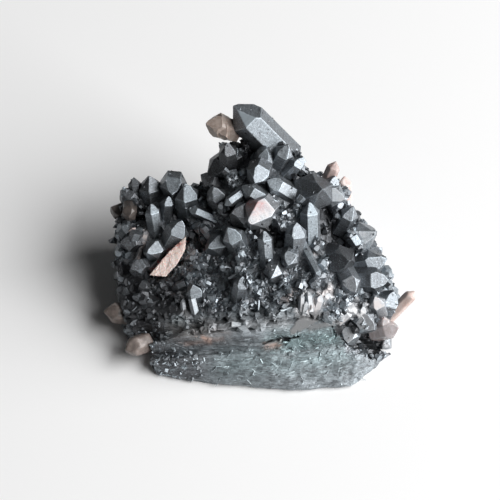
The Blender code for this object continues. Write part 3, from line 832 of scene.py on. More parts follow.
@dataclass
class GrainField:
    """Thousands of small grains copied from a few forms onto a ground, as one mesh.

    Widths are in millimetres, and stretch, sink, spacing and clear in widths. The plain and the wanted
    are the shares of tries that are kept, on plain ground and where a mark shows.
    """

    name: str
    ground: Ground
    slot: str
    forms: Sequence[Form]
    tries: int
    widths: Pair
    stretch: Pair
    sink: float
    tilt: float
    tones: Pair
    seed: int
    spacing: float = 0.0
    lay: Lay = Lay.STANDING
    clear: float = 0.0
    plain: float = 1.0
    wanted: Mapping[Mark, float] = field(default_factory=dict)
    patchy: float = 0.0
    run: Triple = (1.0, 0.0, 0.0)
    top_tone: float = 0.85

    def build(self, survey: Survey, avoid: Surface, finish: Material) -> None:
        """Scatter the grains, make their mesh and hand it over.

        Args:
            survey: Tells what shows where.
            avoid: Larger crystals that are kept clear.
            finish: The grains' material.
        """
        dice = np.random.default_rng(self.seed)
        points, normals = self.ground.strike(dice, self.tries)
        widths = dice.uniform(*self.widths, self.tries) * MM
        shares = survey.shares(points, self.ground.rock_inside)
        chance = np.full(self.tries, self.plain)
        for mark, value in self.wanted.items():
            chance = chance * (1.0 - shares[mark]) + value * shares[mark]
        chance *= 1.0 + self.patchy * wobble(show_places(points), CROWDING_SIZE)
        kept = dice.random(self.tries) < chance
        kept &= points[:, 2] > LOWEST_GRAIN + widths * LOWEST_SHARE
        kept &= np.abs(points[:, 0]) < GRAIN_SPREAD
        if self.clear:
            kept[kept] = ~avoid.near(points[kept], widths[kept] * self.clear)
        order = np.flatnonzero(kept)
        if self.spacing:
            order = order[thinned(points[order], widths[order] * self.spacing)]
        piece, owners = self.copies(dice, points[order], normals[order], widths[order])
        tones = dice.uniform(*self.tones, len(order))
        self.write(piece, owners, survey.shares(points[order], self.ground.rock_inside), tones)
        hand_over(piece, self.slot, finish)

    def copies(
        self, dice: np.random.Generator, points: np.ndarray, normals: np.ndarray, widths: np.ndarray,
    ) -> tuple[Piece, np.ndarray]:
        """Place a form at each point and join them all into one mesh.

        Args:
            dice: Random numbers.
            points: Where the grains stand, in metres.
            normals: The ground's normals there.
            widths: The grains' widths, in metres.

        Returns:
            The piece, with no material, and the number of each face's grain.
        """
        count = len(points)
        loose = dice.normal(size=(count, 3)) * self.tilt
        if self.lay is Lay.ALONG:
            run = np.array(self.run) + loose
            axes = unit(run - np.einsum("nj,nj->n", run, normals)[:, None] * normals)
            side = unit(normals + dice.normal(size=(count, 3)) * SIDE_LOOSENESS)
        else:
            axes = unit(normals + loose + unit(points - np.array(CORE)) * OUTWARD_PULL)
            side = dice.normal(size=(count, 3))
        first = unit(np.cross(side, axes))
        second = np.cross(axes, first)
        turned = np.stack([first, second, axes], axis=2)
        sizes = np.stack([widths, widths, widths * dice.uniform(*self.stretch, count)], axis=1)
        turned = turned * sizes[:, None, :]
        heads = points - normals * (widths * self.sink)[:, None]
        which = dice.integers(len(self.forms), size=count)
        vertices, triangles, owners, start = [], [], [], 0
        for index, form in enumerate(self.forms):
            chosen = np.flatnonzero(which == index)
            placed = np.einsum("nij,vj->nvi", turned[chosen], form.points) + heads[chosen, None, :]
            offsets = start + np.arange(len(chosen)) * len(form.points)
            vertices.append(placed.reshape(-1, 3))
            triangles.append((form.triangles[None] + offsets[:, None, None]).reshape(-1, 3))
            owners.append(np.repeat(chosen, len(form.triangles)))
            start += placed.shape[0] * placed.shape[1]
        piece = self.joined(np.concatenate(vertices), np.concatenate(triangles))
        return piece, np.concatenate(owners)

    def joined(self, vertices: np.ndarray, triangles: np.ndarray) -> Piece:
        """Make the piece's mesh, held above the floor.

        Args:
            vertices: The vertices as rows, in metres.
            triangles: The numbers of each triangle's vertices.

        Returns:
            The piece, with no material.
        """
        vertices[:, 2] = np.maximum(vertices[:, 2], CLEARANCE)
        mesh = bpy.data.meshes.new(self.name)
        mesh.vertices.add(len(vertices))
        mesh.vertices.foreach_set("co", np.ascontiguousarray(vertices, dtype=np.float32).ravel())
        mesh.loops.add(triangles.size)
        mesh.loops.foreach_set("vertex_index", np.ascontiguousarray(triangles, dtype=np.int32).ravel())
        mesh.polygons.add(len(triangles))
        mesh.polygons.foreach_set("loop_start", np.arange(0, triangles.size, 3, dtype=np.int32))
        mesh.update(calc_edges=True)
        mesh.shade_flat()
        return Bench.add(self.name, mesh)

    def write(
        self, piece: Piece, owners: np.ndarray, shares: Mapping[Mark, np.ndarray],
        tones: np.ndarray,
    ) -> None:
        """Store each grain's shares and tone on its faces, flat faces alike.

        Args:
            piece: The grains' mesh.
            owners: The number of each face's grain.
            shares: Share of each mark at the grains.
            tones: The grains' tones.
        """
        for mark, share in shares.items():
            write_attribute(piece, mark.value, share[owners], "FACE")
        normals = np.empty(len(owners) * 3)
        piece.data.polygons.foreach_get("normal", normals)
        uneven = np.sin(normals.reshape(-1, 3) @ FACE_MIX + owners * GRAIN_MIX) * GRAIN_FACE_TONE
        write_attribute(piece, "tone", np.clip(tones[owners] + uneven, 0.0, self.top_tone), "FACE")


def math_operator(operation: str, swapped: bool = False) -> Callable[["Signal", object], "Signal"]:
    """Make the Signal method behind one of Python's operators.

    Args:
        operation: The Math node's operation.
        swapped: True if the signal is the second value.

    Returns:
        The method.
    """
    def apply(signal: "Signal", other: object) -> "Signal":
        """Result of the operation on both values."""
        return signal.math(operation, *((other, signal) if swapped else (signal, other)))

    return apply


class Signal:
    """A shader socket that Python's arithmetic adds Math nodes to."""

    __add__, __radd__ = math_operator("ADD"), math_operator("ADD", True)
    __sub__, __rsub__ = math_operator("SUBTRACT"), math_operator("SUBTRACT", True)
    __mul__ = math_operator("MULTIPLY")

    def __init__(self, tree: "ShaderTree", socket: bpy.types.NodeSocket) -> None:
        """Wrap a socket of a tree."""
        self.tree = tree
        self.socket = socket

    def math(self, operation: str, *values: object, clamp: bool = False) -> "Signal":
        """Result of a Math node on some values."""
        settings = {"operation": operation, "use_clamp": clamp}
        return self.tree.node("ShaderNodeMath", settings, dict(enumerate(values)))

    def clamped(self) -> "Signal":
        """The value held between 0 and 1."""
        return self.math("ADD", self, 0.0, clamp=True)


class ShaderTree:
    """A material's nodes, around one Principled shader."""

    def __init__(self, name: str) -> None:
        """Start a material with its shader.

        Args:
            name: The material's name.
        """
        self.material = bpy.data.materials.new(name)
        self.material.use_nodes = True
        self.tree = self.material.node_tree
        self.shader = self.tree.nodes["Principled BSDF"]

    def put(self, socket: bpy.types.NodeSocket, value: object) -> None:
        """Link a signal to a socket, or set the socket's own value.

        Args:
            socket: The input.
            value: A signal, a colour or a number.
        """
        if isinstance(value, Signal):
            self.tree.links.new(value.socket, socket)
        elif isinstance(value, tuple) and len(value) == 3 and socket.type == "RGBA":
            socket.default_value = (*value, 1.0)
        else:
            socket.default_value = value

    def node(
        self, kind: str, settings: Mapping[str, object] | None = None,
        inputs: Mapping[object, object] | None = None, output: int | str = 0,
    ) -> Signal:
        """Add a node.

        Args:
            kind: The node's type.
            settings: Its own properties.
            inputs: Values or signals by socket name or number.
            output: Name or number of the socket to use.

        Returns:
            The chosen output.
        """
        made = self.tree.nodes.new(kind)
        for key, value in (settings or {}).items():
            setattr(made, key, value)
        for key, value in (inputs or {}).items():
            self.put(made.inputs[key], value)
        return Signal(self, made.outputs[output])

    def attribute(self, name: str) -> Signal:
        """A piece's own attribute."""
        return self.node("ShaderNodeAttribute", {"attribute_name": name}, output="Fac")

    def place(self) -> Signal:
        """Object coordinates in millimetres."""
        place = self.node("ShaderNodeTexCoord", output="Object")
        return self.node("ShaderNodeVectorMath", {"operation": "SCALE"}, {0: place, "Scale": 1.0 / MM})

    def stretched(self, place: Signal, scale: Triple, turn: Triple) -> Signal:
        """Coordinates scaled and turned, for a pattern with a run."""
        inputs = {"Vector": place, "Scale": scale, "Rotation": turn}
        return self.node("ShaderNodeMapping", None, inputs)

    def noise(self, place: Signal, size: float, detail: float = 2.0, rough: float = 0.6) -> Signal:
        """Noise whose features are about a size in millimetres."""
        inputs = {"Vector": place, "Scale": 1.0 / size, "Detail": detail, "Roughness": rough}
        return self.node("ShaderNodeTexNoise", None, inputs)

    def steep(self, value: Signal, low: float, high: float) -> Signal:
        """Stretch the range from low to high over 0 to 1."""
        inputs = {"Value": value, "From Min": low, "From Max": high}
        return self.node("ShaderNodeMapRange", None, inputs)

    def blend(self, share: object, first: object, second: object) -> Signal:
        """Mix two colours by a share."""
        inputs = {0: share, 6: first, 7: second}
        return self.node("ShaderNodeMix", {"data_type": "RGBA"}, inputs, 2)

    def bump(self, height: Signal, distance: float) -> Signal:
        """Normal from a height, whose full range stands for a distance in millimetres."""
        inputs = {"Strength": 1.0, "Distance": distance * MM, "Height": height}
        return self.node("ShaderNodeBump", None, inputs)

    def finish(self, **values: object) -> Material:
        """Fill the shader's sockets.

        Args:
            **values: Values by socket name, with underscores for spaces.

        Returns:
            The finished material.
        """
        for key, value in values.items():
            self.put(self.shader.inputs[key.replace("_", " ")], value)
        return self.material


@dataclass(frozen=True)
class CrustFinish:
    """Hematite coat, broken rock and bare quartz, mixed by what the survey wrote on a piece.

    Sizes are in millimetres. A run is how a pattern is stretched and turned, and a range is the part of
    a pattern's values that is spread over 0 to 1.
    """

    name: str
    coat_dark: Colour = (0.158, 0.162, 0.172)
    coat_light: Colour = (0.36, 0.41, 0.45)
    rock_dark: Colour = (0.05, 0.052, 0.056)
    rock_light: Colour = (0.43, 0.48, 0.515)
    teal: Colour = (0.27, 0.405, 0.415)
    coat_black_and_shade: Colour = (0.07, 0.071, 0.075)
    coat_bright: Colour = (0.5, 0.57, 0.62)
    glint: Colour = (0.68, 0.74, 0.75)
    fracture: Colour = (0.215, 0.218, 0.222)
    pale: Colour = (0.56, 0.56, 0.57)
    warm: Colour = (0.46, 0.3, 0.24)
    red: Colour = (0.35, 0.06, 0.05)
    spark_size: float = 0.24
    dash_size: float = 0.26
    grain_size: float = 0.3
    fibre_size: float = 0.5
    stripe_size: float = 0.5
    growth_size: float = 0.8
    mottle_size: float = 1.9
    blotch_size: float = 3.4
    fibre_run: tuple[Triple, Triple] = ((0.2, 1.0, 1.2), (0.0, 0.1, 0.05))
    teal_run: tuple[Triple, Triple] = ((1.1, 0.25, 1.0), (0.6, 0.2, 0.9))
    blotch_run: tuple[Triple, Triple] = ((0.5, 1.0, 1.0), (0.0, 0.15, 0.0))
    fine_rough: float = 0.7
    teal_turn: float = 0.7
    speck_range: Pair = (0.35, 0.7)
    spark_range: Pair = (0.66, 0.7)
    stripe_range: Pair = (0.4, 0.6)
    shine_range: Pair = (0.95, 1.45)
    dash_range: Pair = (0.6, 0.7)
    streak_range: Pair = (0.62, 1.18)
    glint_range: Pair = (0.9, 1.3)
    patchy_range: Pair = (0.62, 0.86)
    stain_range: Pair = (0.42, 0.6)
    bump: float = 0.07

    def material(self) -> Material:
        """Build the material.

        Returns:
            The material.
        """
        tree = ShaderTree(self.name)
        place = tree.place()
        grain = tree.noise(place, self.grain_size)
        growth = tree.noise(place, self.growth_size)
        mottle = tree.noise(place, self.mottle_size, 3.0)
        teal, rock = tree.attribute(Mark.TEAL.value), tree.attribute(Mark.ROCK.value)
        run, turned = tree.stretched(place, *self.fibre_run), tree.stretched(place, *self.teal_run)
        fibre = tree.noise(run, self.fibre_size, 4.0, self.fine_rough) * (1.0 - teal * self.teal_turn)
        fibre += tree.noise(turned, self.fibre_size, 3.0, self.fine_rough) * teal * self.teal_turn
        tone, deep = tree.attribute("tone"), tree.attribute(Mark.DEEP_SHADE.value)
        bare, warm = tree.attribute(Mark.BARE.value), tree.attribute(Mark.WARM.value)
        scaly, smooth = tree.attribute(Mark.SCALY.value), tree.attribute(Mark.SMOOTH.value)

        speck = tree.steep(grain, *self.speck_range)
        spark = tree.steep(tree.noise(place, self.spark_size, 0.0), *self.spark_range)
        # The shade is the scaly coat's own darkness and painted shade in deep places; it dims the coat and
        # its shine
        shade = (1.0 - scaly * 0.75) * (1.0 - deep * 0.8)
        along = tree.node("ShaderNodeCombineXYZ", None, {0: tree.attribute("along")})
        stripe = tree.noise(along, self.stripe_size, 3.0, self.fine_rough)
        stripe = tree.steep(stripe, *self.stripe_range)
        coat_share = (tone * 0.75 + speck * 0.35 + mottle * 0.4 + stripe * 0.22 - 0.48) * shade
        # The scaly coat turns black, and deep places are darkened further as painted shade
        black_and_shade = tree.blend((scaly * 0.5 + deep * 0.9).clamped(), self.coat_dark, self.coat_black_and_shade)
        coat = tree.blend(coat_share.clamped(), black_and_shade, self.coat_light)
        # The shine paints highlights: brighter coat where the tone is high, which on placed crystals
        # carries their painted light, and painted glints at the spark spots
        shine = tree.steep(tone + speck * 0.3 + mottle * 0.2, *self.shine_range)
        shine = (shine + spark.clamped() * (1.0 - rock) * 0.5) * shade
        coat = tree.blend(shine.clamped(), coat, self.coat_bright)

        blotch = tree.noise(tree.stretched(place, *self.blotch_run), self.blotch_size)
        streak = fibre * 0.75 + growth * 0.3 + blotch * 0.55 + tone * 0.35 - teal * 0.06
        dash = tree.steep(tree.noise(run, self.dash_size, 1.0), *self.dash_range).clamped()
        streak = tree.steep(streak, *self.streak_range) * (1.0 - dash * 0.75)
        light = tree.blend(teal, self.rock_light, self.teal)
        # Deep places on the rock are darkened as painted shade and lose their glints
        stone = tree.blend((streak * (1.0 - deep)).clamped(), self.rock_dark, light)
        glint = tree.steep(streak, *self.glint_range) * (1.0 - deep)
        stone = tree.blend(glint.clamped(), stone, self.glint)
        stone = tree.blend(smooth, stone, self.fracture)
        stone = tree.blend((warm * 0.5).clamped(), stone, self.warm)

        colour = tree.blend(rock, coat, stone)
        quartz = tree.blend(warm, self.pale, self.warm)
        patchy = tree.steep(mottle + growth * 0.5, *self.patchy_range).clamped()
        colour = tree.blend((bare * (0.3 + patchy * 0.55 + speck * 0.25)).clamped(), colour, quartz)
        spread = tree.steep(growth, *self.stain_range).clamped()
        red = tree.attribute(Mark.RED.value) * (0.4 + spread * 0.6)
        colour = tree.blend(red.clamped(), colour, self.red)

        metallic = (1.0 - rock * 0.6) * (1.0 - bare) * (1.0 - coat_share.clamped() * 0.35)
        roughness = 0.36 + rock * 0.14 + scaly * 0.1 + speck * 0.12 + mottle * 0.14
        height = grain * 0.4 + stripe * 0.25 + growth * (0.9 - rock * 0.5)
        height += fibre * rock * (1.0 - smooth) * 1.2
        normal = tree.bump(height, self.bump)
        return tree.finish(Base_Color=colour, Metallic=metallic, Roughness=roughness, Normal=normal)


@dataclass(frozen=True)
class QuartzFinish:
    """Bare quartz: a body colour with milky clouds, a glossy skin and some light let in."""

    name: str
    deep: Colour
    light: Colour
    roughness: float = 0.28
    let_in: float = 0.0
    glow: float = 0.25
    glow_reach: Colour = (1.0, 0.7, 0.6)
    glow_depth: float = 1.2
    refraction: float = 1.544
    cloud_size: float = 1.4
    cloud_range: Pair = (0.32, 0.7)
    grain_size: float = 0.3
    frost: float = 0.02

    def material(self) -> Material:
        """Build the material.

        Returns:
            The material.
        """
        tree = ShaderTree(self.name)
        place = tree.place()
        cloud = tree.steep(tree.noise(place, self.cloud_size, 4.0, 0.65), *self.cloud_range)
        grain = tree.noise(place, self.grain_size, 3.0)
        colour = tree.blend((cloud * 0.8 + grain * 0.3 - 0.05).clamped(), self.deep, self.light)
        return tree.finish(
            Base_Color=colour, Roughness=self.roughness + grain * 0.12,
            Normal=tree.bump(grain, self.frost), IOR=self.refraction, Transmission_Weight=self.let_in,
            Subsurface_Weight=self.glow, Subsurface_Radius=self.glow_reach,
            Subsurface_Scale=self.glow_depth * MM,
        )


@dataclass(frozen=True)
class BladeFinish:
    """The broken pink blade: sugary pale pink with a red stain along its upper edge."""

    name: str = "pink_quartz_finish"
    pink: Colour = (1.0, 0.65, 0.55)
    white: Colour = (1.0, 0.92, 0.88)
    red: Colour = (0.5, 0.13, 0.1)
    glow: float = 0.2
    glow_reach: Colour = (1.0, 0.6, 0.5)
    glow_depth: float = 0.8
    sugar_size: float = 0.28
    sugar_range: Pair = (0.36, 0.6)
    cloud_size: float = 2.2
    stain_range: Pair = (0.4, 0.62)
    frost: float = 0.08

    def material(self) -> Material:
        """Build the material.

        Returns:
            The material.
        """
        tree = ShaderTree(self.name)
        place = tree.place()
        sugar = tree.noise(place, self.sugar_size, 3.0, 0.7)
        cloud = tree.noise(place, self.cloud_size)
        colour = tree.blend(tree.steep(sugar, *self.sugar_range), self.pink, self.white)
        stain = tree.attribute(Mark.RED.value) * tree.steep(cloud, *self.stain_range)
        colour = tree.blend(stain, colour, self.red)
        return tree.finish(
            Base_Color=colour, Roughness=0.5 + sugar * 0.1, Normal=tree.bump(sugar, self.frost),
            Subsurface_Weight=self.glow, Subsurface_Radius=self.glow_reach,
            Subsurface_Scale=self.glow_depth * MM,
        )


@dataclass(frozen=True)
class PlainFinish:
    """A plain matt surface."""

    name: str
    colour: Colour
    roughness: float = 0.9

    def material(self) -> Material:
        """Build the material."""
        tree = ShaderTree(self.name)
        return tree.finish(Base_Color=self.colour, Roughness=self.roughness)


@dataclass
class DruseGround:
    """The crust's own surface, rough with growth too small to place."""

    node: str = CRUST_NODE
    voxel: float = 0.42
    facet_share: float = 0.16
    tones: Sequence[Pair] = ((0.0, 0.25),)
    reliefs: Sequence[Relief] = (
        Relief((3.0, 3.0, 3.0), 1.0, "VORONOI_F1", 0, level=1.1),
        Relief((1.5, 1.5, 1.5), 0.9, "VORONOI_F2_F1", 1, level=1.0),
    )

    def build(self, survey: Survey) -> Piece:
        """Make the crust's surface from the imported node's shape, sunk where it is deep.

        Args:
            survey: Tells what shows where.

        Returns:
            The crust, with the survey written on it.
        """
        piece = Bench.even_copy(self.node, "druse_ground", self.voxel)
        for relief in self.reliefs:
            relief.cut(piece)
        points = points_of(piece)
        points -= survey.shares(points)[Mark.DEEP_SHADE][:, None] * np.array(TOWARD) * DEEP_SINK * MM
        Bench.move(piece, points)
        Bench.finish(piece, "DECIMATE", ratio=self.facet_share)
        write_survey(piece, survey, self.tones)
        return piece


@dataclass
class PlacedCrystals:
    """The crystals that are large enough to be placed one by one."""

    crystals: Sequence[Crystal]
    bevel: float = 0.022

    def build(self, surface: Surface) -> Piece:
        """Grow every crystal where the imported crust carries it, and join them.

        Args:
            surface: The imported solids.

        Returns:
            The joined crystals.
        """
        pieces = [self.place(crystal, surface) for crystal in self.crystals]
        return Bench.join(pieces, "druse_large_crystals")

    def place(self, crystal: Crystal, surface: Surface) -> Piece:
        """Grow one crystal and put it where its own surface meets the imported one.

        Args:
            crystal: What is known of it.
            surface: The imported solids.

        Returns:
            The crystal, in its place.
        """
        heading, lean = math.radians(crystal.heading), math.radians(crystal.lean)
        twist = math.radians(crystal.twist)
        flat = RIGHT * math.cos(heading) + UPWARD * math.sin(heading)
        axis = flat * math.cos(lean) + TOWARD * math.sin(lean)
        outward = (TOWARD - axis * TOWARD.dot(axis)).normalized()
        turn = Matrix((outward, axis.cross(outward), axis)).transposed().to_quaternion()
        width = crystal.width * MM
        piece = CrystalCutter.grow(
            crystal.name, width, crystal.length * MM, self.bevel * width, twist, crystal.cuts,
        )
        own = turn.inverted() @ TOWARD
        shell = BVHTree.FromObject(piece, bpy.context.evaluated_depsgraph_get())
        stand = shell.ray_cast(own * REACH, -own)[0].dot(own)
        head = surface.seen(crystal.across, crystal.up) - TOWARD * stand
        piece.data.transform(Matrix.Translation(head) @ turn.to_matrix().to_4x4())
        if points_of(piece)[:, 2].min() < 0.0:
            with Bench.editing(piece):
                bpy.ops.mesh.bisect(
                    plane_co=(0.0, 0.0, CLEARANCE), plane_no=(0.0, 0.0, 1.0), use_fill=True,
                    clear_inner=True, threshold=WELD,
                )
        self.write(piece, crystal, turn.to_matrix() @ Matrix.Rotation(twist, 3, "Z"))
        return piece

    @staticmethod
    def write(piece: Piece, crystal: Crystal, turn: Matrix) -> None:
        """Store the crystal's tone, bareness, painted shade and stains, and the way along its axis.

        Args:
            piece: The crystal's mesh, in its place.
            crystal: What is known of it.
            turn: The turn from its own upright frame, whose +X meets its first face.
        """
        dice = random.Random(f"{crystal.name} faces")
        faces = len(piece.data.polygons)
        normals = np.array([face.normal for face in piece.data.polygons])
        # Faces that look toward the camera are painted lighter and barer: painted light
        outward = soft_step(normals @ np.array(TOWARD) - PAINTED_LIGHT_FROM, PAINTED_LIGHT_BLUR)
        uneven = np.array([dice.uniform(-FACE_TONE, FACE_TONE) for _ in range(faces)])
        areas = np.array([face.area for face in piece.data.polygons]) / (crystal.width * MM) ** 2
        # Painted highlight: the narrow faces of the rounded edges are painted lighter
        rounded_edges = np.where(areas < EDGE_AREA, EDGE_HIGHLIGHT, 0.0)
        own = normals @ np.array(turn)
        turns = np.arctan2(own[:, 1], own[:, 0]) / math.radians(SIXTH_TURN)
        # Painted light on the point's faces, a step per face, which is painted shade below zero
        point_painted_light = np.array(crystal.painted_face_light)[np.round(turns).astype(int) % 6] * (own[:, 2] > POINT_RISE)
        tone = crystal.tone * (TONE_ASIDE + TONE_PAINTED_LIGHT * outward) + uneven + rounded_edges + point_painted_light
        bare = np.minimum(crystal.bare * (BARE_ASIDE + BARE_PAINTED_LIGHT * outward), 1.0)
        write_attribute(piece, "tone", tone, "FACE")
        write_attribute(piece, Mark.BARE.value, bare, "FACE")
        write_attribute(piece, Mark.WARM.value, np.full(faces, crystal.warm), "FACE")
        # The deep darkens the whole crystal as painted shade
        write_attribute(piece, Mark.DEEP_SHADE.value, np.full(faces, crystal.deep), "FACE")
        points = points_of(piece) / MM
        along, high = points @ np.array(turn.col[2]), points @ np.array(UPWARD)
        write_attribute(piece, "along", along, "POINT")
        point = along > along.max() - POINT_SHARE * crystal.width
        below = (high[point].max() - high) / (RED_REACH * crystal.width)
        stain = crystal.red * point * np.clip(1.0 - below, 0.0, 1.0)
        write_attribute(piece, Mark.RED.value, stain, "POINT")


@dataclass
class MatrixRock:
    """The broken rock under the crust, with its fibrous ledged front."""

    node: str = ROCK_NODE
    voxel: float = 0.42
    reliefs: Sequence[Relief] = (
        Relief((7.0, 4.0, 2.4), 1.5, "ORIGINAL_PERLIN", 1, turn=(0.0, 6.0, 0.0)),
        Relief((5.0, 1.2, 1.0), 0.6, "ORIGINAL_PERLIN", 2, True, turn=(0.0, -8.0, 0.0)),
    )

    def build(self, survey: Survey) -> Piece:
        """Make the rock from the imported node's shape, flat where it is smooth and sunk where it is deep.

        Args:
            survey: Tells what shows where.

        Returns:
            The rock, with the survey written on it.
        """
        piece = Bench.even_copy(self.node, "matrix_rock", self.voxel)
        before = points_of(piece)
        for relief in self.reliefs:
            relief.cut(piece)
        shares = survey.shares(before, True)
        points = before + (points_of(piece) - before) * (1.0 - shares[Mark.SMOOTH][:, None])
        points -= shares[Mark.DEEP_SHADE][:, None] * np.array(TOWARD) * DEEP_SINK * MM
        points[:, 2] = np.maximum(points[:, 2], 0.0)
        Bench.move(piece, points)
        write_survey(piece, survey, ROCK_TONES, True)
        return piece


@dataclass
class BareQuartz:
    """Crystals that the coat left free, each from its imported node."""

    finish: QuartzFinish
    slot: str
    nodes: Sequence[str]
    bevel: float = 0.16
    voxel: float = 0.0
    smooth: int = 0
    edge_angle: float = math.radians(12.0)
    relief: Relief = Relief((1.6, 1.6, 1.6), 0.25)

    def build(self) -> None:
        """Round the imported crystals' edges and dress them."""
        material = self.finish.material()
        for node in self.nodes:
            piece = Bench.copy_of(node, f"{node}_crystal")
            Bench.finish(
                piece, "BEVEL", width=self.bevel * MM, segments=2, limit_method="ANGLE",
                angle_limit=self.edge_angle,
            )
            if self.voxel:
                voxel = self.voxel * MM
                Bench.finish(piece, "REMESH", mode="VOXEL", voxel_size=voxel, use_smooth_shade=True)
                Bench.finish(piece, "SMOOTH", factor=0.5, iterations=self.smooth)
                self.relief.cut(piece)
            hand_over(piece, self.slot, material, node)


# The bare crystals that keep their edges, then those that are rounded off
BARE_QUARTZ = [
    BareQuartz(
        QuartzFinish("smoky_quartz_finish", (0.2, 0.155, 0.13), (0.44, 0.37, 0.33)),
        BROWN_SLOT, ["peak_quartz_pair"],
    ),
    BareQuartz(
        QuartzFinish("brown_quartz_finish", (0.045, 0.039, 0.036), (0.125, 0.106, 0.096), glow=0.05),
        BROWN_SLOT, ["left_quartz_outer", "left_quartz_inner"],
    ),
] + [
    BareQuartz(QuartzFinish(f"{name}_quartz_finish", deep, light, **look), PALE_SLOT, nodes, *rounded_edges)
    for name, deep, light, look, nodes, rounded_edges in [
        (
            "beige", (0.1, 0.082, 0.074), (0.27, 0.226, 0.205), {"glow": 0.1},
            ["left_quartz_knob", "lower_left_quartz"], (0.5, 0.2, 6),
        ),
        (
            "rosy", (0.3, 0.21, 0.19), (0.52, 0.44, 0.42), {"let_in": 0.1},
            ["upper_right_quartz"], (0.35, 0.15, 4),
        ),
        (
            "blush", (0.5, 0.36, 0.32), (0.76, 0.7, 0.68), {"let_in": 0.15},
            ["shoulder_quartz"], (0.35, 0.15, 4),
        ),
        (
            "tip", (0.42, 0.29, 0.25), (0.64, 0.57, 0.54), {"let_in": 0.1},
            ["right_quartz_tip"], (0.45, 0.15, 8),
        ),
        (
            "clear", (0.38, 0.33, 0.325), (0.66, 0.62, 0.63), {"roughness": 0.16, "let_in": 0.45},
            ["right_quartz_pair"], (0.35, 0.15, 3),
        ),
    ]
]


@dataclass
class PinkBlade:
    """The broken blade of pale pink quartz in the left shoulder."""

    node: str = "pink_quartz_blade"
    voxel: float = 0.2
    heading: float = math.radians(42.0)
    widening: float = 0.35
    tones: Sequence[Pair] = ((0.0, 0.5),)
    reliefs: Sequence[Relief] = (
        Relief((1.4, 1.4, 1.4), 0.5),
        Relief((0.5, 0.5, 0.5), 0.18, "VORONOI_F2_F1", 0),
    )

    def build(self, survey: Survey) -> None:
        """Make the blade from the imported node's shape and dress it.

        Args:
            survey: Tells what shows where.
        """
        piece = Bench.even_copy(self.node, "pink_blade", self.voxel)
        points = points_of(piece)
        across = np.array(UPWARD * math.cos(self.heading) - RIGHT * math.sin(self.heading))
        beside = (points - points.mean(axis=0)) @ across
        Bench.move(piece, points + np.outer(beside * self.widening, across))
        for relief in self.reliefs:
            relief.cut(piece)
        write_survey(piece, survey, self.tones)
        hand_over(piece, PINK_SLOT, BladeFinish().material(), self.node)


@dataclass
class Studio:
    """Pale floor, one large soft light from the right, a dim surround and the camera."""

    distance: float = 1.0
    frame_width: float = 125.0 * MM
    sensor: float = 36.0
    middle_across: float = -2.5
    middle_toward: float = 27.0
    window_from: Triple = (0.82, -0.2, 0.49)
    window_distance: float = 1.3
    window_side: float = 1.45
    window_power: float = 48.5
    surround: float = 0.042
    floor_side: float = 6.0
    paper: Colour = (0.86, 0.86, 0.86)

    def build(self) -> None:
        """Set up the whole scene round the specimen."""
        self.lay_floor()
        self.hang_window()
        self.light_surround()
        self.place_camera()
        bpy.context.scene.view_settings.view_transform = "Standard"

    def lay_floor(self) -> None:
        """Lay the floor under the specimen."""
        bpy.ops.object.select_all(action="DESELECT")
        bpy.ops.mesh.primitive_plane_add(size=self.floor_side)
        floor = bpy.context.object
        floor.name = "studio_floor"
        floor.data.materials.append(PlainFinish("floor_paper", self.paper).material())

    def hang_window(self) -> None:
        """Hang the large soft light on the right."""
        light = bpy.data.lights.new("studio_window", "AREA")
        light.shape = "SQUARE"
        light.size = self.window_side
        light.energy = self.window_power
        holder = Bench.add("studio_window", light)
        direction = Vector(self.window_from).normalized()
        self.aim(holder, direction * self.window_distance, direction)
        holder.visible_camera = False

    def light_surround(self) -> None:
        """Light the room evenly and dimly."""
        world = bpy.data.worlds.new("studio_surround")
        world.use_nodes = True
        background = world.node_tree.nodes["Background"]
        background.inputs["Color"].default_value = (1.0, 1.0, 1.0, 1.0)
        background.inputs["Strength"].default_value = self.surround
        bpy.context.scene.world = world

    def place_camera(self) -> None:
        """Place the camera with a long lens at the show face's elevation."""
        camera = bpy.data.cameras.new("studio_camera")
        camera.sensor_width = self.sensor
        camera.lens = self.sensor * self.distance / self.frame_width
        camera.clip_start = 0.01
        holder = Bench.add("studio_camera", camera)
        middle = FACE_ORIGIN + RIGHT * self.middle_across * MM + TOWARD * self.middle_toward * MM
        self.aim(holder, middle + TOWARD * self.distance, TOWARD)
        bpy.context.scene.camera = holder

    @staticmethod
    def aim(holder: bpy.types.Object, place: Vector, back: Vector) -> None:
        """Place a light or a camera and turn it.

        Args:
            holder: The light or camera.
            place: Where it stands, in metres.
            back: The direction opposite to its own.
        """
        holder.location = place
        holder.rotation_mode = "QUATERNION"
        holder.rotation_quaternion = back.to_track_quat("Z", "Y")


@dataclass(frozen=True)
class CrystalForm:
    """An uneven crystal, its prism and rounding in widths."""

    mark: str
    length: float
    bevel: float = 0.0

    def cut(self, index: int) -> Piece:
        """Make the crystal with a number."""
        name = f"{self.mark}_{index}"
        return CrystalCutter.grow(name, FORM_SIZE, FORM_SIZE * self.length, FORM_SIZE * self.bevel)


@dataclass(frozen=True)
class ShardForm:
    """A broken block about one unit wide."""

    side: float = 1.1
    breaks: int = 6
    depths: Pair = (0.3, 0.5)

    def cut(self, index: int) -> Piece:
        """Make a block.

        Args:
            index: Its number, which makes it differ from others.

        Returns:
            The block.
        """
        dice = random.Random(f"shard_{index}")
        bpy.ops.object.select_all(action="DESELECT")
        bpy.ops.mesh.primitive_cube_add(size=FORM_SIZE * self.side)
        piece = bpy.context.object
        piece.name = f"shard_{index}"
        with Bench.editing(piece):
            for _ in range(self.breaks):
                normal = Vector([dice.gauss(0.0, 1.0) for _ in range(3)]).normalized()
                Bench.trim(normal * FORM_SIZE * dice.uniform(*self.depths), normal)
        return piece


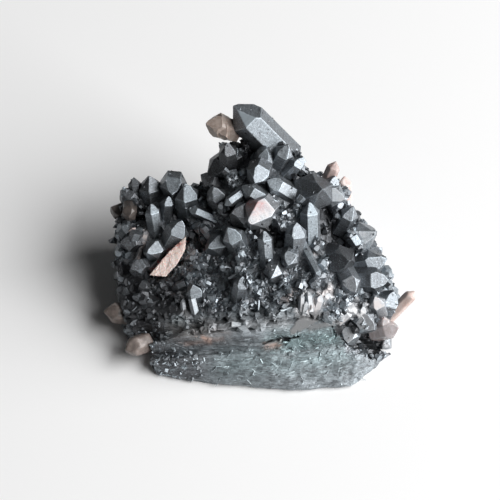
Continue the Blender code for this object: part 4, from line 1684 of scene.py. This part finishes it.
@dataclass(frozen=True)
class SplinterForm:
    """A broken splinter one unit wide that lies along Z."""

    sides: int = 5
    radii: Pair = (0.55, 0.4)
    length: float = 2.0
    end: float = 0.7
    slant: float = 0.8
    rise: float = 0.45

    def cut(self, index: int) -> Piece:
        """Make a splinter.

        Args:
            index: Its number, which makes it differ from others.

        Returns:
            The splinter.
        """
        dice = random.Random(f"splinter_{index}")
        foot, head = self.radii
        bpy.ops.object.select_all(action="DESELECT")
        bpy.ops.mesh.primitive_cone_add(
            vertices=self.sides, radius1=FORM_SIZE * foot, radius2=FORM_SIZE * head,
            depth=FORM_SIZE * self.length, end_fill_type="NGON",
        )
        piece = bpy.context.object
        piece.name = f"splinter_{index}"
        with Bench.editing(piece):
            for end in (-1.0, 1.0):
                slants = [dice.uniform(-self.slant, self.slant) for _ in range(2)]
                Bench.trim((0.0, 0.0, end * FORM_SIZE * self.end), (*slants, end * self.rise))
        return piece


def forms(kind: CrystalForm | ShardForm | SplinterForm, count: int) -> list[Form]:
    """A few forms of a kind."""
    return [Form.taken_from(kind.cut(index)) for index in range(count)]


def grow_grains(
    crust: Piece, rock: Piece, large: Piece, survey: Survey, finish: Material,
) -> None:
    """Cover the crust and the rock with small crystals and splinters.

    Args:
        crust: The crust's surface.
        rock: The rock's surface.
        large: The placed crystals, which are kept clear.
        survey: Tells what shows where.
        finish: The shared material.
    """
    on_crust, on_rock, on_large = Ground(crust), Ground(rock, True), Ground(large)
    coarse, small = forms(CrystalForm("coarse", 0.9, 0.03), 6), forms(CrystalForm("small", 0.7), 6)
    shards, splinters = forms(ShardForm(), 9), forms(SplinterForm(), 5)
    coated_only = {Mark.BARE: 0.15, Mark.ROCK: 0.0, Mark.SMOOTH: 0.0}
    rough_only = {Mark.SMOOTH: 0.0, Mark.DEEP_SHADE: 0.0}
    fields = [
        GrainField(
            "druse_coarse_crystals", on_crust, COAT_SLOT, coarse, 4000, (1.6, 3.0), (0.8, 1.3), 0.15, 0.5,
            (0.2, 0.8), 21, 0.85, clear=0.42,
            wanted={Mark.SCALY: 0.05, Mark.DEEP_SHADE: 0.1, Mark.BLADED: 0.02, Mark.CRUMB: 0.03, **coated_only},
        ),
        GrainField(
            "druse_small_crystals", on_crust, COAT_SLOT, small, 4500, (0.8, 1.8), (0.8, 1.7), 0.1, 0.7,
            (0.1, 0.9), 22, 0.55, clear=0.38, patchy=0.4,
            wanted={Mark.SCALY: 0.1, Mark.DEEP_SHADE: 0.3, Mark.BLADED: 0.06, Mark.CRUMB: 0.1, **coated_only},
        ),
        GrainField(
            "druse_shards", on_crust, COAT_SLOT, shards, 5600, (0.5, 1.6), (0.5, 1.6), 0.1, 2.0,
            (0.1, 1.0), 23, 0.6, clear=0.4, plain=0.7, patchy=0.4,
            wanted={Mark.SCALY: 0.4, Mark.BLADED: 1.0, Mark.CRUMB: 0.5, Mark.DEEP_SHADE: 0.3, **coated_only},
        ),
        GrainField(
            "druse_blades", on_crust, COAT_SLOT, splinters, 12000, (0.25, 0.7), (0.8, 3.0), 0.1, 0.7,
            (0.1, 1.15), 28, 0.35, Lay.ALONG, clear=0.4, plain=0.12, run=(0.25, 0.6, 0.8),
            wanted={Mark.BLADED: 1.0, Mark.SCALY: 0.05, Mark.DEEP_SHADE: 0.1, **coated_only},
        ),
        GrainField(
            "hematite_flakes", on_large, COAT_SLOT, shards, 1500, (0.2, 0.65), (0.5, 1.0), 0.25, 2.0,
            (0.0, 0.5), 24, plain=0.6, patchy=0.9,
        ),
        GrainField(
            "rock_druse_crystals", on_rock, COAT_SLOT, small, 5000, (0.8, 2.0), (0.8, 1.6), 0.0, 0.8,
            (0.1, 0.9), 25, 0.5, clear=0.4, patchy=0.3,
            wanted={Mark.SCALY: 0.2, Mark.CRUMB: 0.02, **coated_only},
        ),
        GrainField(
            "rock_shards", on_rock, COAT_SLOT, shards, 9000, (0.25, 0.9), (0.5, 1.8), 0.1, 2.0,
            (0.0, 1.1), 29, 0.5, plain=0.0, top_tone=1.1,
            wanted={Mark.ROCK: 0.02, Mark.TEAL: 0.2, Mark.CRUMB: 1.0, Mark.SMOOTH: 0.0},
        ),
        GrainField(
            "rock_splinters", on_rock, ROCK_SLOT, splinters, 7500, (0.1, 0.24), (2.5, 10.0), 0.35, 0.4,
            (0.0, 1.5), 26, 0.0, Lay.ALONG, clear=0.3, plain=0.0,
            wanted={Mark.ROCK: 0.3, Mark.TEAL: 0.9, **rough_only},
        ),
        GrainField(
            "teal_splinters", on_rock, ROCK_SLOT, splinters, 7000, (0.2, 0.5), (1.0, 3.4), 0.15, 0.9,
            (0.0, 1.7), 30, 0.35, Lay.ALONG, clear=0.3, plain=0.0, run=(0.8, 0.3, 0.6), top_tone=1.2,
            wanted={Mark.TEAL: 1.0, **rough_only, Mark.CRUMB: 0.3},
        ),
        GrainField(
            "ledge_splinters", on_crust, ROCK_SLOT, splinters, 6000, (0.1, 0.26), (1.5, 6.0), 0.3, 0.7,
            (0.0, 1.0), 27, 0.0, Lay.ALONG, clear=0.3, plain=0.0, wanted={Mark.ROCK: 0.4, **rough_only},
        ),
    ]
    clear_of = Surface([large])
    for grains in fields:
        grains.build(survey, clear_of, finish)


def main() -> None:
    """Build the pieces in order, then the studio."""
    logging.basicConfig(level=logging.INFO, format="%(message)s")
    packed = Surface([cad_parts[name] for name in (CRUST_NODE, ROCK_NODE)])
    survey = Survey()
    finish = CrustFinish("hematite_crust_finish").material()

    large = PlacedCrystals(PLACED_CRYSTALS).build(packed)
    crust = DruseGround().build(survey)
    rock = MatrixRock().build(survey)
    grow_grains(crust, rock, large, survey, finish)
    hand_over(large, COAT_SLOT, finish, CRUST_NODE)
    hand_over(crust, COAT_SLOT, finish, CRUST_NODE)
    hand_over(rock, ROCK_SLOT, finish, ROCK_NODE)
    for quartz in BARE_QUARTZ:
        quartz.build()
    PinkBlade().build(survey)

    Studio().build()


if __name__ == "__main__":
    main()
